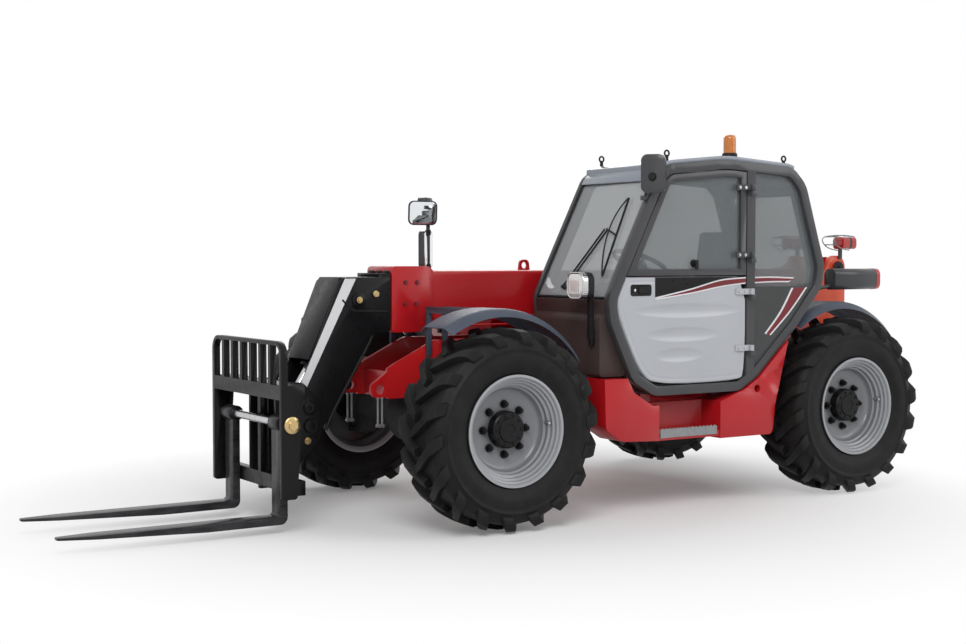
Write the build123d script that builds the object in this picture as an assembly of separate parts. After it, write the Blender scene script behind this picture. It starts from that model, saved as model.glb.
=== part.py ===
"""Telehandler with a side cab, a two-section boom, pallet forks and four steered wheels. Millimetres."""

import os
from math import cos, pi, radians, sin, sqrt, tan

from build123d import *

os.makedirs("parts", exist_ok=True)

# Wheels and axles: X forward to the forks, Y to the cab side, Z up, datum under the middle of the wheelbase
WHEELBASE = 2810
TRACK = 1930
TYRE_RADIUS = 605
TYRE_WIDTH = 410
TYRE_SIDES = 28
LUG_HEIGHT = 42
LUG_WIDTH = 60
LUG_LEAN = 130
LUGS = 14
RIM_SEAT_RADIUS = 306
RIM_FLANGE_RADIUS = 333
RIM_WIDTH = 380
RIM_SHEET = 12
WELL_DEPTH = 26
DISC_PLACE = 62
DISC_SHEET = 14
HUB_RADIUS = 112
HUB_REACH = 116
SPINDLE_RADIUS = 55
KINGPIN_INSET = 115
KINGPIN_RADIUS = 30
STEER_ARM = 170
YOKE_REACH = 150
YOKE_WIDTH = 130
EAR_SHEET = 35
AXLE_RADIUS = 95
DIFF_RADIUS = 185
FENDER_RADIUS = 715
FENDER_WIDTH = 375
FENDER_SHEET = 8
FENDER_DROP = 50

# Frame
RAIL_INNER = 190
RAIL_PLATE = 30
RAIL_LIFT = 135
RAIL_DEPTH = 360
RAIL_REACH = 345
LUG_REACH = 115
TIE_HOLE = 30
BELLY_DROP = 85
BELLY_SHEET = 25
CROSS_SHEET = 40
TAIL_DROP = 45
TOWER_HALF = 95
WEIGHT_WIDTH = 1200
WEIGHT_DEPTH = 105
WEIGHT_TOP = 1050
HITCH_REACH = 60
HITCH_SHEET = 25
TOW_PIN = 16

# Boom, cylinders and forks
BOOM_WIDTH = 300
BOOM_HEIGHT = 330
BOOM_BOTTOM = 1210
BOOM_WALL = 12
BOOM_CORNER = 28
SECTION_GAP = 14
WEAR_PAD = 120
COLLAR_LENGTH = 300
COLLAR_SHEET = 14
PIVOT_HEIGHT = 1545
PIVOT_SETBACK = 745
PIVOT_PIN = 45
LIFT_PIN = 35
LIFT_BORE = 40
LIFT_BARREL = 68
TILT_PIN = 35
TILT_ARM = 200
EYE_PIN = 25
TILT_BORE = 28
TILT_BARREL = 50
HEAD_CHEEK = 25
HEAD_HALF = 165
FORK_LENGTH = 1350
FORK_WIDTH = 125
FORK_SPACING = 700
FORK_THICKNESS = 45
FORK_GROUND = 55
SHAFT_RADIUS = 25
CARRIAGE_WIDTH = 1040
CARRIAGE_PLATE = 30
GUSSET_SHEET = 25
GUARD_HEIGHT = 1135
GUARD_BAR = 34
GUARD_DEPTH = 40
CROSSBAR = 85
GUARD_BARS = 6

# Cab and engine side
CAB_OUTER = 1055
CAB_INNER = 228
CAB_WALL = 30
CAB_TOP = 2200
FRAME_TUBE = 55
HOOP_WIDTH = 60
FLOOR_HEIGHT = 820
FLOOR_SHEET = 40
FRONT_SILL = 1360
HEAD_RAIL = 2110
SILL_HEIGHT = 1500
WINDOW_BAR = 50
GLASS = 8
ROOF_CAP = 25
HINGE_PIN = 8
HINGE_LEAF = 40
DENT_HEIGHT = 90
DENT_DEPTH = 6
GRIP_LENGTH = 128
GRIP_HEIGHT = 56
SEAT_DEPTH = 500
SEAT_WIDTH = 460
SEAT_RISE = 260
CUSHION_HEIGHT = 120
BACKREST_HEIGHT = 620
STEERING_RADIUS = 180
STEERING_GRIP = 28
COLUMN_RADIUS = 25
SKIRT_DEPTH = 230
SKIRT_HOLE = 26
POD_OUTER = 1050
POD_BOTTOM = 550
POD_TOP = 1220
POD_WALL = 25
HOOD_RISE = 85
HOOD_SHEET = 20
GRILLE_SLOTS = 7
GRILLE_LENGTH = 440
LOUVRE_PITCH = 55
LOUVRE_WIDTH = 28

# Lamps and mirrors
LAMP_WIDTH = 175
LAMP_HEIGHT = 165
LAMP_DEPTH = 80
LAMP_STALK = 30
BEACON_RADIUS = 42
BEACON_HEIGHT = 125
TAIL_CASE = (110, 150, 450)
WORK_LAMP = (110, 90, 130)
LEFT_MIRROR = (150, 240, 50)
WIDE_MIRROR = (170, 130, 45)
TALL_MIRROR = (160, 260, 40)
MIRROR_TUBE = 14

# Clearances
RUN = 0.08
SEAT = 0.3
GAP = 8
WHEEL_GAP = 100
CUT = 1

# Places that follow from the sizes
FRONT_X = WHEELBASE / 2
REAR_X = -WHEELBASE / 2
AXLE_Z = TYRE_RADIUS
WHEEL_Y = TRACK / 2
KINGPIN_Y = WHEEL_Y - KINGPIN_INSET
RAIL_OUTER = RAIL_INNER + RAIL_PLATE
RAIL_BOTTOM = AXLE_Z + RAIL_LIFT
RAIL_TOP = RAIL_BOTTOM + RAIL_DEPTH
BELLY_Z = AXLE_Z - BELLY_DROP
TAIL_Z = AXLE_Z - TAIL_DROP
PIVOT = (REAR_X - PIVOT_SETBACK, PIVOT_HEIGHT)
TOWER_BACK = PIVOT[0] - TOWER_HALF
TAIL_X = TOWER_BACK - WEIGHT_DEPTH - HITCH_REACH
BOOM_TOP = BOOM_BOTTOM + BOOM_HEIGHT
BOOM_HALF = BOOM_WIDTH / 2
BOOM_NOSE = FRONT_X + 285
LIFT_BASE = (REAR_X - 445, AXLE_Z + 55)
LIFT_EYE = (REAR_X + 405, BOOM_BOTTOM - 100)
TILT = (FRONT_X + 875, AXLE_Z - 5)
TILT_EYE = (TILT[0], TILT[1] + TILT_ARM)
TILT_BASE = (FRONT_X + 525, BOOM_BOTTOM + 150)
HEEL_X = TILT[0] + 250
FORK_TIP = HEEL_X + FORK_LENGTH
SHAFT = (HEEL_X + FORK_THICKNESS / 2, TILT[1] + 50)
GUARD_FOOT = SHAFT[1] + 145
SHIFT = -(FORK_TIP + TAIL_X) / 2
CAB_FRONT = FRONT_X - 805
CAB_REAR = REAR_X + 285
CAB_BOTTOM = FLOOR_HEIGHT - 10
FRAME_FACE = CAB_OUTER - FRAME_TUBE
CABIN_Y = (CAB_INNER + CAB_WALL, FRAME_FACE)
NOSE_X = CAB_FRONT + 90
HINGE_X = CAB_REAR + 615
HINGE_Y = CAB_OUTER + 20
LOWER_HINGES = (CAB_BOTTOM + 200, SILL_HEIGHT - 120)
UPPER_HINGES = (SILL_HEIGHT + 120, CAB_TOP - 140)
SKIRT_OUTER = CAB_OUTER + 15
SKIRT_INNER = SKIRT_OUTER - SKIRT_DEPTH
SKIRT_FRONT = FRONT_X - TYRE_RADIUS - WHEEL_GAP
SKIRT_REAR = REAR_X + TYRE_RADIUS + WHEEL_GAP
STEP_FRONT = SKIRT_FRONT - 430
STEP_REAR = SKIRT_REAR + 460
STEP_Z = AXLE_Z - 140
POD_FRONT = FRONT_X - TYRE_RADIUS - WHEEL_GAP
HOOD_HINGE = (-RAIL_OUTER - 12, POD_TOP + 35)
HOOD_HINGES = (200 - POD_FRONT, POD_FRONT - 200)

# The cab's side opening, from the rear of the floor round by the front
CAB_OPENING = [
    (CAB_REAR + 720, CAB_BOTTOM, 60),
    (CAB_FRONT - 320, CAB_BOTTOM, 80),
    (CAB_FRONT - 180, CAB_BOTTOM + 80, 80),
    (CAB_FRONT - 15, FRONT_SILL - 124, 120),
    (CAB_FRONT, FRONT_SILL, 80),
    (CAB_FRONT - 70, FRONT_SILL + 140, 200),
    (CAB_FRONT - 400, CAB_TOP - 50, 120),
    (CAB_FRONT - 900, CAB_TOP, 1000),
    (CAB_REAR + 260, CAB_TOP - 35, 90),
    (CAB_REAR + 170, CAB_TOP - 120, 150),
    (CAB_REAR, SILL_HEIGHT + 60, 120),
    (CAB_REAR + 20, SILL_HEIGHT - 50, 100),
    (CAB_REAR + 250, SILL_HEIGHT - 310, 250),
    (CAB_REAR + 590, CAB_BOTTOM + 70, 100),
]


# Shape helpers
def box(x0, x1, y0, y1, z0, z1):
    return Pos((x0 + x1) / 2, (y0 + y1) / 2, (z0 + z1) / 2) * Box(x1 - x0, y1 - y0, z1 - z0)


def outline(points):
    """A closed face; a third number in a point rounds that corner."""
    runs = []
    for i, point in enumerate(points):
        here = Vector(point[0], point[1])
        if len(point) < 3:
            runs.append((here, None, here))
            continue
        before = (Vector(*points[i - 1][:2]) - here).normalized()
        after = (Vector(*points[(i + 1) % len(points)][:2]) - here).normalized()
        half = radians(before.get_angle(after)) / 2
        middle = (before + after).normalized()
        near = here + middle * (point[2] / sin(half) - point[2])
        back = point[2] / tan(half)
        runs.append((here + before * back, near, here + after * back))
    edges = []
    for i, (start, near, end) in enumerate(runs):
        if near is not None:
            edges.append(ThreePointArc(start, near, end))
        following = runs[(i + 1) % len(runs)][0]
        if (following - end).length > 1e-6:
            edges.append(Line(end, following))
    return make_face(edges)


def side(face, y0, y1):
    """A face drawn in X and Z, given depth from y0 to y1."""
    return extrude(Plane.XZ.offset(-y1) * face, y1 - y0)


def slab(points, y0, y1):
    return side(outline(points), y0, y1)


def plan(points, z0, z1):
    return extrude(Pos(0, 0, z0) * outline(points), z1 - z0)


def cross(points, x0, x1):
    """An outline drawn in Y and Z, given depth from x0 to x1."""
    return extrude(Plane.YZ.offset(x0) * outline(points), x1 - x0)


def rod(start, end, radius):
    start, end = Vector(*start), Vector(*end)
    along = end - start
    base = Plane(origin=start, z_dir=along)
    return base * Cylinder(radius, along.length, align=(Align.CENTER, Align.CENTER, Align.MIN))


def cross_rod(at, radius, y0, y1):
    return rod((at[0], y0, at[1]), (at[0], y1, at[1]), radius)


def post(x, y, radius, z0, z1):
    return rod((x, y, z0), (x, y, z1), radius)


def housing(place, facing, width, height, depth, corner):
    """A rounded case whose back lies at a place and which reaches out along a level direction."""
    plane = Plane(origin=place, x_dir=(-facing[1], facing[0], 0), z_dir=(facing[0], facing[1], 0))
    return extrude(plane * RectangleRounded(width, height, corner), depth)


def flipped(part):
    return mirror(part, about=Plane.XZ)


def both_sides(part):
    return part + flipped(part)


def handed(part, hand):
    return part if hand > 0 else flipped(part)


def turned(profile, x, y):
    """Points of radius and offset, turned about an axle."""
    face = make_face(Polyline(*profile, close=True))
    return Pos(x, y, AXLE_Z) * revolve(face, axis=Axis.Y)


# Frame, axles and running gear
def chassis_plate(hand):
    """One side plate of the frame, with the boom tower at its rear and a tie-down lug at its front."""
    front = FRONT_X + RAIL_REACH
    rail = [
        (front, RAIL_BOTTOM),
        (front, RAIL_TOP - 170, 20),
        (front - 55, RAIL_TOP - 140, 60),
        (FRONT_X, RAIL_TOP, 80),
        (REAR_X - 250, RAIL_TOP, 80),
        (PIVOT[0] + TOWER_HALF, PIVOT_HEIGHT, 120),
        (PIVOT[0] + TOWER_HALF - 25, PIVOT_HEIGHT + TOWER_HALF, 60),
        (TOWER_BACK, PIVOT_HEIGHT + TOWER_HALF, 90),
        (TOWER_BACK, TAIL_Z, 40),
        (LIFT_BASE[0] + 120, TAIL_Z, 60),
        (REAR_X - 140, RAIL_BOTTOM, 60),
        (REAR_X + 180, RAIL_BOTTOM, 60),
        (REAR_X + 380, BELLY_Z, 60),
        (FRONT_X - 380, BELLY_Z, 60),
        (FRONT_X - 180, RAIL_BOTTOM, 60),
    ]
    lug = [
        (front, RAIL_BOTTOM + 10),
        (front + LUG_REACH, RAIL_BOTTOM + 10, 35),
        (front + LUG_REACH, RAIL_BOTTOM + 90, 35),
        (front, RAIL_BOTTOM + 170),
    ]
    part = slab(rail, RAIL_INNER, RAIL_OUTER) + slab(lug, RAIL_INNER, RAIL_OUTER)
    part += cross_rod(PIVOT, PIVOT_PIN + 20, RAIL_OUTER, RAIL_OUTER + 10)
    tie_down = (front + LUG_REACH / 2, RAIL_BOTTOM + 60)
    for place, radius in ((tie_down, TIE_HOLE), (PIVOT, PIVOT_PIN + SEAT), (LIFT_BASE, LIFT_PIN + SEAT)):
        part -= cross_rod(place, radius, RAIL_INNER - CUT, RAIL_OUTER + 10 + CUT)
    return handed(part, hand)


def chassis_cross():
    """What joins the side plates: cross members, belly plate, boom and cylinder pins, cab outriggers."""
    top = RAIL_TOP - 200
    part = box(FRONT_X + 260, FRONT_X + 300, -RAIL_INNER, RAIL_INNER, RAIL_BOTTOM, top)
    part += box(REAR_X + 420, FRONT_X - 420, -RAIL_INNER, RAIL_INNER, BELLY_Z, BELLY_Z + BELLY_SHEET)
    for x in (REAR_X + 600, 0, FRONT_X - 500):
        half = CROSS_SHEET / 2
        part += box(x - half, x + half, -RAIL_INNER, RAIL_INNER, BELLY_Z + BELLY_SHEET, top)
    part += box(TOWER_BACK, TOWER_BACK + RAIL_PLATE, -RAIL_INNER, RAIL_INNER, TAIL_Z, WEIGHT_TOP)
    part += cross_rod(PIVOT, PIVOT_PIN, -RAIL_OUTER - 25, RAIL_OUTER + 25)
    part += cross_rod(LIFT_BASE, LIFT_PIN, -RAIL_OUTER - 12, RAIL_OUTER + 12)
    bottom = CAB_BOTTOM - HOOP_WIDTH
    for x in (STEP_FRONT - 70, STEP_REAR - 80):
        part += box(x - 40, x + 40, RAIL_OUTER, SKIRT_INNER, bottom - 90, bottom)
    return part


def counterweight():
    front, back, half = TOWER_BACK, TOWER_BACK - WEIGHT_DEPTH, WEIGHT_WIDTH / 2
    part = plan([(back, -half, 90), (front, -half), (front, half), (back, half, 90)], TAIL_Z, WEIGHT_TOP)
    part -= box(back - CUT, back + 35, -120, 120, TAIL_Z - CUT, TAIL_Z + 260)
    for z in (TAIL_Z + 80, TAIL_Z + 180):
        eye = [(back + 36, -60), (back + 36, 60), (TAIL_X, 60, 50), (TAIL_X, -60, 50)]
        part += plan(eye, z, z + HITCH_SHEET) - post(back - 30, 0, TOW_PIN, z - CUT, z + HITCH_SHEET + CUT)
    return part


def axle(x):
    """A drive axle: a round housing that swells at the middle, ending in the forks of the kingpins."""
    z = AXLE_Z
    end = KINGPIN_Y - 150
    part = turned(
        [
            (0, -end),
            (AXLE_RADIUS, -end),
            (AXLE_RADIUS + 15, 10 - RAIL_INNER),
            (DIFF_RADIUS, 90 - RAIL_INNER),
            (DIFF_RADIUS, RAIL_INNER - 90),
            (AXLE_RADIUS + 15, RAIL_INNER - 10),
            (AXLE_RADIUS, end),
            (0, end),
        ],
        x,
        0,
    )
    inner, outer = YOKE_REACH, YOKE_REACH + EAR_SHEET
    tip, root = KINGPIN_Y + 60, KINGPIN_Y - 110
    jaw = [
        (tip, z + inner),
        (tip, z + outer),
        (root - 40, z + outer, 40),
        (root - 100, z + AXLE_RADIUS, 60),
        (root - 100, z - AXLE_RADIUS, 60),
        (root - 40, z - outer, 40),
        (tip, z - outer),
        (tip, z - inner),
        (root, z - inner, 30),
        (root, z + inner, 30),
    ]
    half = YOKE_WIDTH / 2
    yoke = cross(jaw, x - half, x + half)
    rounding = [(x - half, 0), (x + half, 0), (x + half, tip, half - 5), (x - half, tip, half - 5)]
    yoke &= plan(rounding, z - outer, z + outer)
    for low in (z + inner - 40, z - inner):
        yoke += post(x, KINGPIN_Y, KINGPIN_RADIUS, low, low + 40)
    yoke += box(x - 100, x + 100, RAIL_INNER - 40, RAIL_OUTER, z + AXLE_RADIUS - 25, RAIL_BOTTOM)
    return part + both_sides(yoke)


def knuckle(x, hand):
    z = AXLE_Z
    top = YOKE_REACH - 5
    part = post(x, KINGPIN_Y, 65, z - top, z + top)
    part += rod((x, KINGPIN_Y, z), (x, WHEEL_Y + 15, z), SPINDLE_RADIUS)
    tip = x - STEER_ARM
    arm = [(x, KINGPIN_Y - 40), (x, KINGPIN_Y + 40), (tip, KINGPIN_Y + 25, 24), (tip, KINGPIN_Y - 25, 24)]
    part += plan(arm, z - 70, z - 30)
    for low in (z + YOKE_REACH - 45, z - YOKE_REACH):
        part -= post(x, KINGPIN_Y, KINGPIN_RADIUS + RUN, low, low + 45)
    return handed(part, hand)


def wheel_rim(x, hand):
    half, seat, lip = RIM_WIDTH / 2, RIM_SEAT_RADIUS, RIM_FLANGE_RADIUS
    well, sheet = seat - WELL_DEPTH, RIM_SHEET
    disc = DISC_PLACE + DISC_SHEET
    section_line = [
        (lip, -half),
        (lip, sheet - half),
        (seat, sheet + 6 - half),
        (seat, -100),
        (well, -80),
        (well, DISC_PLACE),
        (seat, DISC_PLACE + 30),
        (seat, half - sheet - 6),
        (lip, half - sheet),
        (lip, half),
        (lip - 15, half),
        (seat - sheet, half - 10),
        (seat - sheet, disc + 20),
        (well - sheet, disc),
        (HUB_RADIUS - 2, disc),
        (HUB_RADIUS - 2, DISC_PLACE),
        (well - sheet, DISC_PLACE),
        (well - sheet, -86),
        (seat - sheet, -106),
        (seat - sheet, 10 - half),
        (lip - 15, -half),
    ]
    part = turned(section_line, x, WHEEL_Y)
    part += rod((x, WHEEL_Y - 45, AXLE_Z), (x, WHEEL_Y + HUB_REACH - 14, AXLE_Z), HUB_RADIUS)
    part += rod((x, WHEEL_Y, AXLE_Z), (x, WHEEL_Y + HUB_REACH, AXLE_Z), HUB_RADIUS * 0.62)
    part -= rod((x, WHEEL_Y - 45 - CUT, AXLE_Z), (x, WHEEL_Y + 20, AXLE_Z), SPINDLE_RADIUS + RUN)
    return handed(part, hand)


def flat_solid(faces):
    return Solid(Shell([Face(Wire.make_polygon(corners, close=True)) for corners in faces]))


def on_wheel(radius, out, angle):
    return Vector(radius * cos(angle), out, radius * sin(angle))


def tyre_lug(turn, flank):
    """A bar from the tread's middle, leaning back to the shoulder and sloping down it."""
    half = TYRE_WIDTH / 2
    foot = TYRE_RADIUS - LUG_HEIGHT - 14
    run = [
        (foot, -15, 0),
        (TYRE_RADIUS, -15, 0),
        (TYRE_RADIUS, half - 45, LUG_LEAN * 0.8),
        (TYRE_RADIUS - 95, half, LUG_LEAN),
        (foot - 40, half - 70, LUG_LEAN * 0.8),
    ]
    half_turn = LUG_WIDTH / 2 / TYRE_RADIUS
    first, last = [
        [on_wheel(radius, flank * out, turn + lean / TYRE_RADIUS + edge) for radius, out, lean in run]
        for edge in (-half_turn, half_turn)
    ]
    faces = []
    for i in range(len(run)):
        j = (i + 1) % len(run)
        faces += [(first[i], first[j], last[j]), (first[i], last[j], last[i])]
    for edge in (first, last):
        faces += [(edge[0], edge[1], edge[2]), (edge[0], edge[2], edge[4]), (edge[4], edge[2], edge[3])]
    return flat_solid(faces)


def tyre_shape():
    """The casing in flat facets, with leaning bars set turn about on its two flanks."""
    half = TYRE_WIDTH / 2
    bore = (RIM_SEAT_RADIUS + SEAT) / cos(pi / TYRE_SIDES)
    flank_line = [
        (bore, RIM_WIDTH / 2 - 25),
        ((RIM_FLANGE_RADIUS + TYRE_RADIUS) / 2, half - 6),
        (TYRE_RADIUS - LUG_HEIGHT, half - 50),
    ]
    profile = flank_line + [(r, -w) for r, w in reversed(flank_line)]
    angles = [2 * pi * i / TYRE_SIDES for i in range(TYRE_SIDES + 1)]
    faces = []
    for (r0, w0), (r1, w1) in zip(profile, profile[1:] + profile[:1]):
        for a, b in zip(angles, angles[1:]):
            corners = ((r0, w0, a), (r0, w0, b), (r1, w1, b), (r1, w1, a))
            faces.append([on_wheel(*corner) for corner in corners])
    lowest = -pi / 2 - LUG_WIDTH / 2 / TYRE_RADIUS
    pitch = 2 * pi / LUGS
    lugs = []
    for i in range(LUGS):
        lugs += [tyre_lug(lowest + i * pitch, 1), tyre_lug(lowest + (i + 0.5) * pitch, -1)]
    return flat_solid(faces).fuse(*lugs)


TYRE = tyre_shape()


def tyre(x, hand):
    return handed(Pos(x, WHEEL_Y, AXLE_Z) * TYRE, hand)


def fenders(x, front, rear):
    """Mudguards over both wheels of an axle, from one angle round to the other, each on two arms."""
    inner, outer = KINGPIN_Y - 210, KINGPIN_Y - 210 + FENDER_WIDTH
    low, top, sheet = FENDER_RADIUS - FENDER_DROP, FENDER_RADIUS, FENDER_SHEET
    crown = outline(
        [
            (low, inner),
            (top, inner + 70, 90),
            (top, outer - 60, 60),
            (low, outer),
            (low, outer - sheet * 1.3),
            (top - sheet, outer - 60 - sheet / 2, 60 - sheet),
            (top - sheet, inner + 70 + sheet / 2, 90 - sheet),
            (low, inner + sheet * 1.3),
        ]
    )
    part = Pos(x, 0, AXLE_Z) * Rot(0, -rear, 0) * revolve(crown, axis=Axis.Y, revolution_arc=rear - front)
    for dx in (-60, 60):
        under = AXLE_Z + sqrt((top - sheet) ** 2 - (abs(dx) + 15) ** 2) + sheet / 2
        part += box(x + dx - 15, x + dx + 15, RAIL_OUTER, RAIL_OUTER + 30, RAIL_TOP - 100, under)
        part += box(x + dx - 15, x + dx + 15, RAIL_OUTER, inner + 110, under - 40, under)
    return both_sides(part)


# Engine side
def pod_line(inset, top):
    corner = POD_OUTER - inset
    return [
        (-RAIL_OUTER - inset, POD_BOTTOM + inset),
        (130 - corner, POD_BOTTOM + inset, 60),
        (-corner, POD_BOTTOM + inset + 170, 80),
        (-corner, top),
        (-RAIL_OUTER - inset, top),
    ]


def engine_pod():
    part = cross(pod_line(0, POD_TOP), -POD_FRONT, POD_FRONT)
    part -= cross(pod_line(POD_WALL, POD_TOP + CUT), POD_WALL - POD_FRONT, POD_FRONT - POD_WALL)
    pitch = (POD_TOP - POD_BOTTOM - 280) / GRILLE_SLOTS
    front, wall = POD_FRONT - 120, (-POD_OUTER - CUT, POD_WALL + CUT - POD_OUTER)
    for i in range(GRILLE_SLOTS):
        z = POD_BOTTOM + 220 + i * pitch
        part -= box(front - GRILLE_LENGTH, front, *wall, z, z + pitch / 2)
    y, z = HOOD_HINGE
    for x in HOOD_HINGES:
        for end in (x - 60, x + 42):
            part += box(end, end + 18, -RAIL_OUTER - 22, -RAIL_OUTER, POD_TOP - 20, z + HINGE_PIN + 1)
        part += rod((x - 60, y, z), (x + 60, y, z), HINGE_PIN)
    return part


def engine_block():
    floor = POD_BOTTOM + POD_WALL
    back, front = 250 - POD_FRONT, POD_FRONT - 370
    part = box(back, front, 220 - POD_OUTER, -RAIL_OUTER - 160, floor, floor + 435)
    part += box(back + 100, front - 100, 300 - POD_OUTER, -RAIL_OUTER - 230, floor + 435, floor + 545)
    return part + rod((front, -640, floor + 245), (front + 70, -640, floor + 245), 180)


def engine_hood():
    outer, inner = -POD_OUTER, -RAIL_OUTER - 30
    low, top = POD_TOP + 5, POD_TOP + HOOD_RISE
    lid = [(outer, low), (outer + 60, top, 70), (inner, top, 30), (inner, low)]
    shell = cross(lid, -POD_FRONT, POD_FRONT)
    under = top - HOOD_SHEET
    hollow = [
        (outer + HOOD_SHEET, low - CUT),
        (outer + 60 + HOOD_SHEET, under, 50),
        (inner - HOOD_SHEET, under, 20),
        (inner - HOOD_SHEET, low - CUT),
    ]
    shell -= cross(hollow, HOOD_SHEET - POD_FRONT, POD_FRONT - HOOD_SHEET)
    y, z = HOOD_HINGE
    for x in HOOD_HINGES:
        shell += rod((x - 40, y, z), (x + 40, y, z), HINGE_PIN + 6)
        shell += box(x - 40, x + 40, inner - 10, y, z - 6, z + 6)
        shell -= rod((x - 40 - CUT, y, z), (x + 40 + CUT, y, z), HINGE_PIN + RUN)
    for i in range(GRILLE_SLOTS):
        x = POD_FRONT - 180 - i * LOUVRE_PITCH
        shell -= box(x - LOUVRE_WIDTH, x, outer + 200, inner - 200, under - CUT, top + CUT)
    return shell


# Cab
def cab_profile(grow):
    face = outline(CAB_OPENING)
    return offset(face, grow) if grow else face


def cab_band(inner, outer, y0, y1):
    """A strip of the cab's shell between two offsets of its opening."""
    return side(cab_profile(outer), y0, y1) - side(cab_profile(inner), y0 - CUT, y1 + CUT)


def cab_shell(inner, outer, x0, x1, z0, z1):
    """A stretch of the cab's shell between its two sides."""
    return cab_band(inner, outer, *CABIN_Y) & box(x0, x1, *CABIN_Y, z0, z1)


def cab_left_frame():
    part = cab_band(0, HOOP_WIDTH, FRAME_FACE, CAB_OUTER)
    inside = side(cab_profile(1), FRAME_FACE, CAB_OUTER)
    part += box(HINGE_X - 40, HINGE_X + 30, FRAME_FACE, CAB_OUTER, CAB_BOTTOM, CAB_TOP) & inside
    quarter = box(CAB_REAR, HINGE_X - 39, FRAME_FACE, CAB_OUTER - 15, CAB_BOTTOM, SILL_HEIGHT - 60)
    part += quarter & inside
    for z in LOWER_HINGES + UPPER_HINGES:
        part += box(HINGE_X - 20, HINGE_X + 20, CAB_OUTER - CUT, HINGE_Y + 14, z - 30, z)
        part += post(HINGE_X, HINGE_Y, HINGE_PIN, z, z + HINGE_LEAF)
    return part


def cab_floor():
    back, front = CAB_REAR + 640, CAB_FRONT - 270
    deck = FLOOR_HEIGHT - FLOOR_SHEET
    part = cab_shell(-5, HOOP_WIDTH, CAB_REAR, CAB_FRONT, CAB_BOTTOM - HOOP_WIDTH, deck)
    return part + box(back, front, *CABIN_Y, deck, FLOOR_HEIGHT)


def cab_right_wall():
    part = side(cab_profile(HOOP_WIDTH), CAB_INNER, CAB_INNER + CAB_WALL)
    return part - side(right_window(), CAB_INNER - CUT, CAB_INNER + CAB_WALL + CUT)


def window(x0, x1, z0, z1):
    """A window's outline: the cab's opening drawn in by a bar, within limits."""
    return cab_profile(-WINDOW_BAR) & outline([(x0, z0), (x1, z0), (x1, z1), (x0, z1)])


def right_window():
    return window(CAB_REAR, CAB_FRONT, FRONT_SILL + 40, CAB_TOP)


def rear_window():
    low, high = SILL_HEIGHT - 80, HEAD_RAIL - 70
    return box(CAB_REAR - 300, CAB_REAR + 320, CABIN_Y[0] + 70, CABIN_Y[1] - 70, low, high)


def cab_rear_wall():
    deck = FLOOR_HEIGHT - FLOOR_SHEET
    part = cab_shell(15, HOOP_WIDTH - 5, CAB_REAR - 300, CAB_REAR + 560, deck, HEAD_RAIL)
    return part - rear_window()


def cab_roof():
    part = cab_shell(10, HOOP_WIDTH, CAB_REAR, CAB_FRONT - 100, HEAD_RAIL, CAB_TOP + 200)
    low, high = CAB_INNER + 10, CAB_OUTER - 10
    cap = cab_band(HOOP_WIDTH, HOOP_WIDTH + ROOF_CAP, low, high)
    return part + (cap & box(CAB_REAR + 220, CAB_FRONT - 370, low, high, CAB_TOP - 40, CAB_TOP + 200))


def cab_front_panel():
    deck = FLOOR_HEIGHT - FLOOR_SHEET
    part = cab_shell(10, HOOP_WIDTH, CAB_FRONT - 270, CAB_FRONT + 300, deck, FRONT_SILL)
    nose = [
        (NOSE_X, CAB_BOTTOM + 70, 30),
        (NOSE_X, FRONT_SILL - 110, 60),
        (CAB_FRONT, FRONT_SILL - 60),
        (CAB_FRONT - 150, CAB_BOTTOM + 90),
        (CAB_FRONT - 80, CAB_BOTTOM + 70),
    ]
    return part + (slab(nose, *CABIN_Y) - side(cab_profile(HOOP_WIDTH), *CABIN_Y))


def windshield():
    outer = HOOP_WIDTH - 18
    return cab_shell(outer - GLASS, outer, CAB_FRONT - 600, CAB_FRONT + 200, FRONT_SILL, HEAD_RAIL)


def cab_glass():
    right = side(right_window(), CAB_INNER + 10, CAB_INNER + 10 + GLASS)
    rear = cab_band(30, 30 + GLASS, *CABIN_Y) & rear_window()
    quarter = side(cab_profile(0), FRAME_FACE + 15, FRAME_FACE + 15 + GLASS)
    quarter &= box(CAB_REAR - 100, HINGE_X - 40, FRAME_FACE, CAB_OUTER, SILL_HEIGHT - 60, CAB_TOP)
    return right + rear + quarter


def door_leaf(z0, z1):
    leaf = side(cab_profile(-GAP), FRAME_FACE + 5, CAB_OUTER)
    return leaf & box(HINGE_X + 30 + GAP, CAB_FRONT + 100, FRAME_FACE, CAB_OUTER, z0, z1)


def door_hinge(z):
    leaf = post(HINGE_X, HINGE_Y, HINGE_PIN + 7, z + 1, z + HINGE_LEAF)
    leaf += box(HINGE_X, HINGE_X + 130, CAB_OUTER, CAB_OUTER + 12, z + 1, z + HINGE_LEAF)
    leaf -= post(HINGE_X, HINGE_Y, HINGE_PIN + RUN, z, z + HINGE_LEAF + CUT)
    return leaf & box(HINGE_X - 20, HINGE_X + 130, CAB_OUTER, HINGE_Y + 30, z, z + HINGE_LEAF)


def door_lower():
    part = door_leaf(CAB_BOTTOM, SILL_HEIGHT)
    drop = (SILL_HEIGHT - CAB_BOTTOM) / 10
    for middle, length, depth in ((520, 880, 3.1), (567, 600, 5.3), (602, 390, 7.2)):
        dent = Pos(HINGE_X + middle, SILL_HEIGHT - depth * drop) * Ellipse(length / 2, DENT_HEIGHT / 2)
        part -= side(dent, CAB_OUTER - DENT_DEPTH, CAB_OUTER + CUT)
    x, z = HINGE_X + 914, SILL_HEIGHT - 82
    grip = Pos(x, z) * RectangleRounded(GRIP_LENGTH, GRIP_HEIGHT, 14)
    part -= side(grip, CAB_OUTER - 4 * DENT_DEPTH, CAB_OUTER + CUT)
    for z in LOWER_HINGES:
        part += door_hinge(z)
    return part


def pane_face():
    return window(HINGE_X + 85, CAB_FRONT + 100, SILL_HEIGHT + WINDOW_BAR, CAB_TOP)


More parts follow.
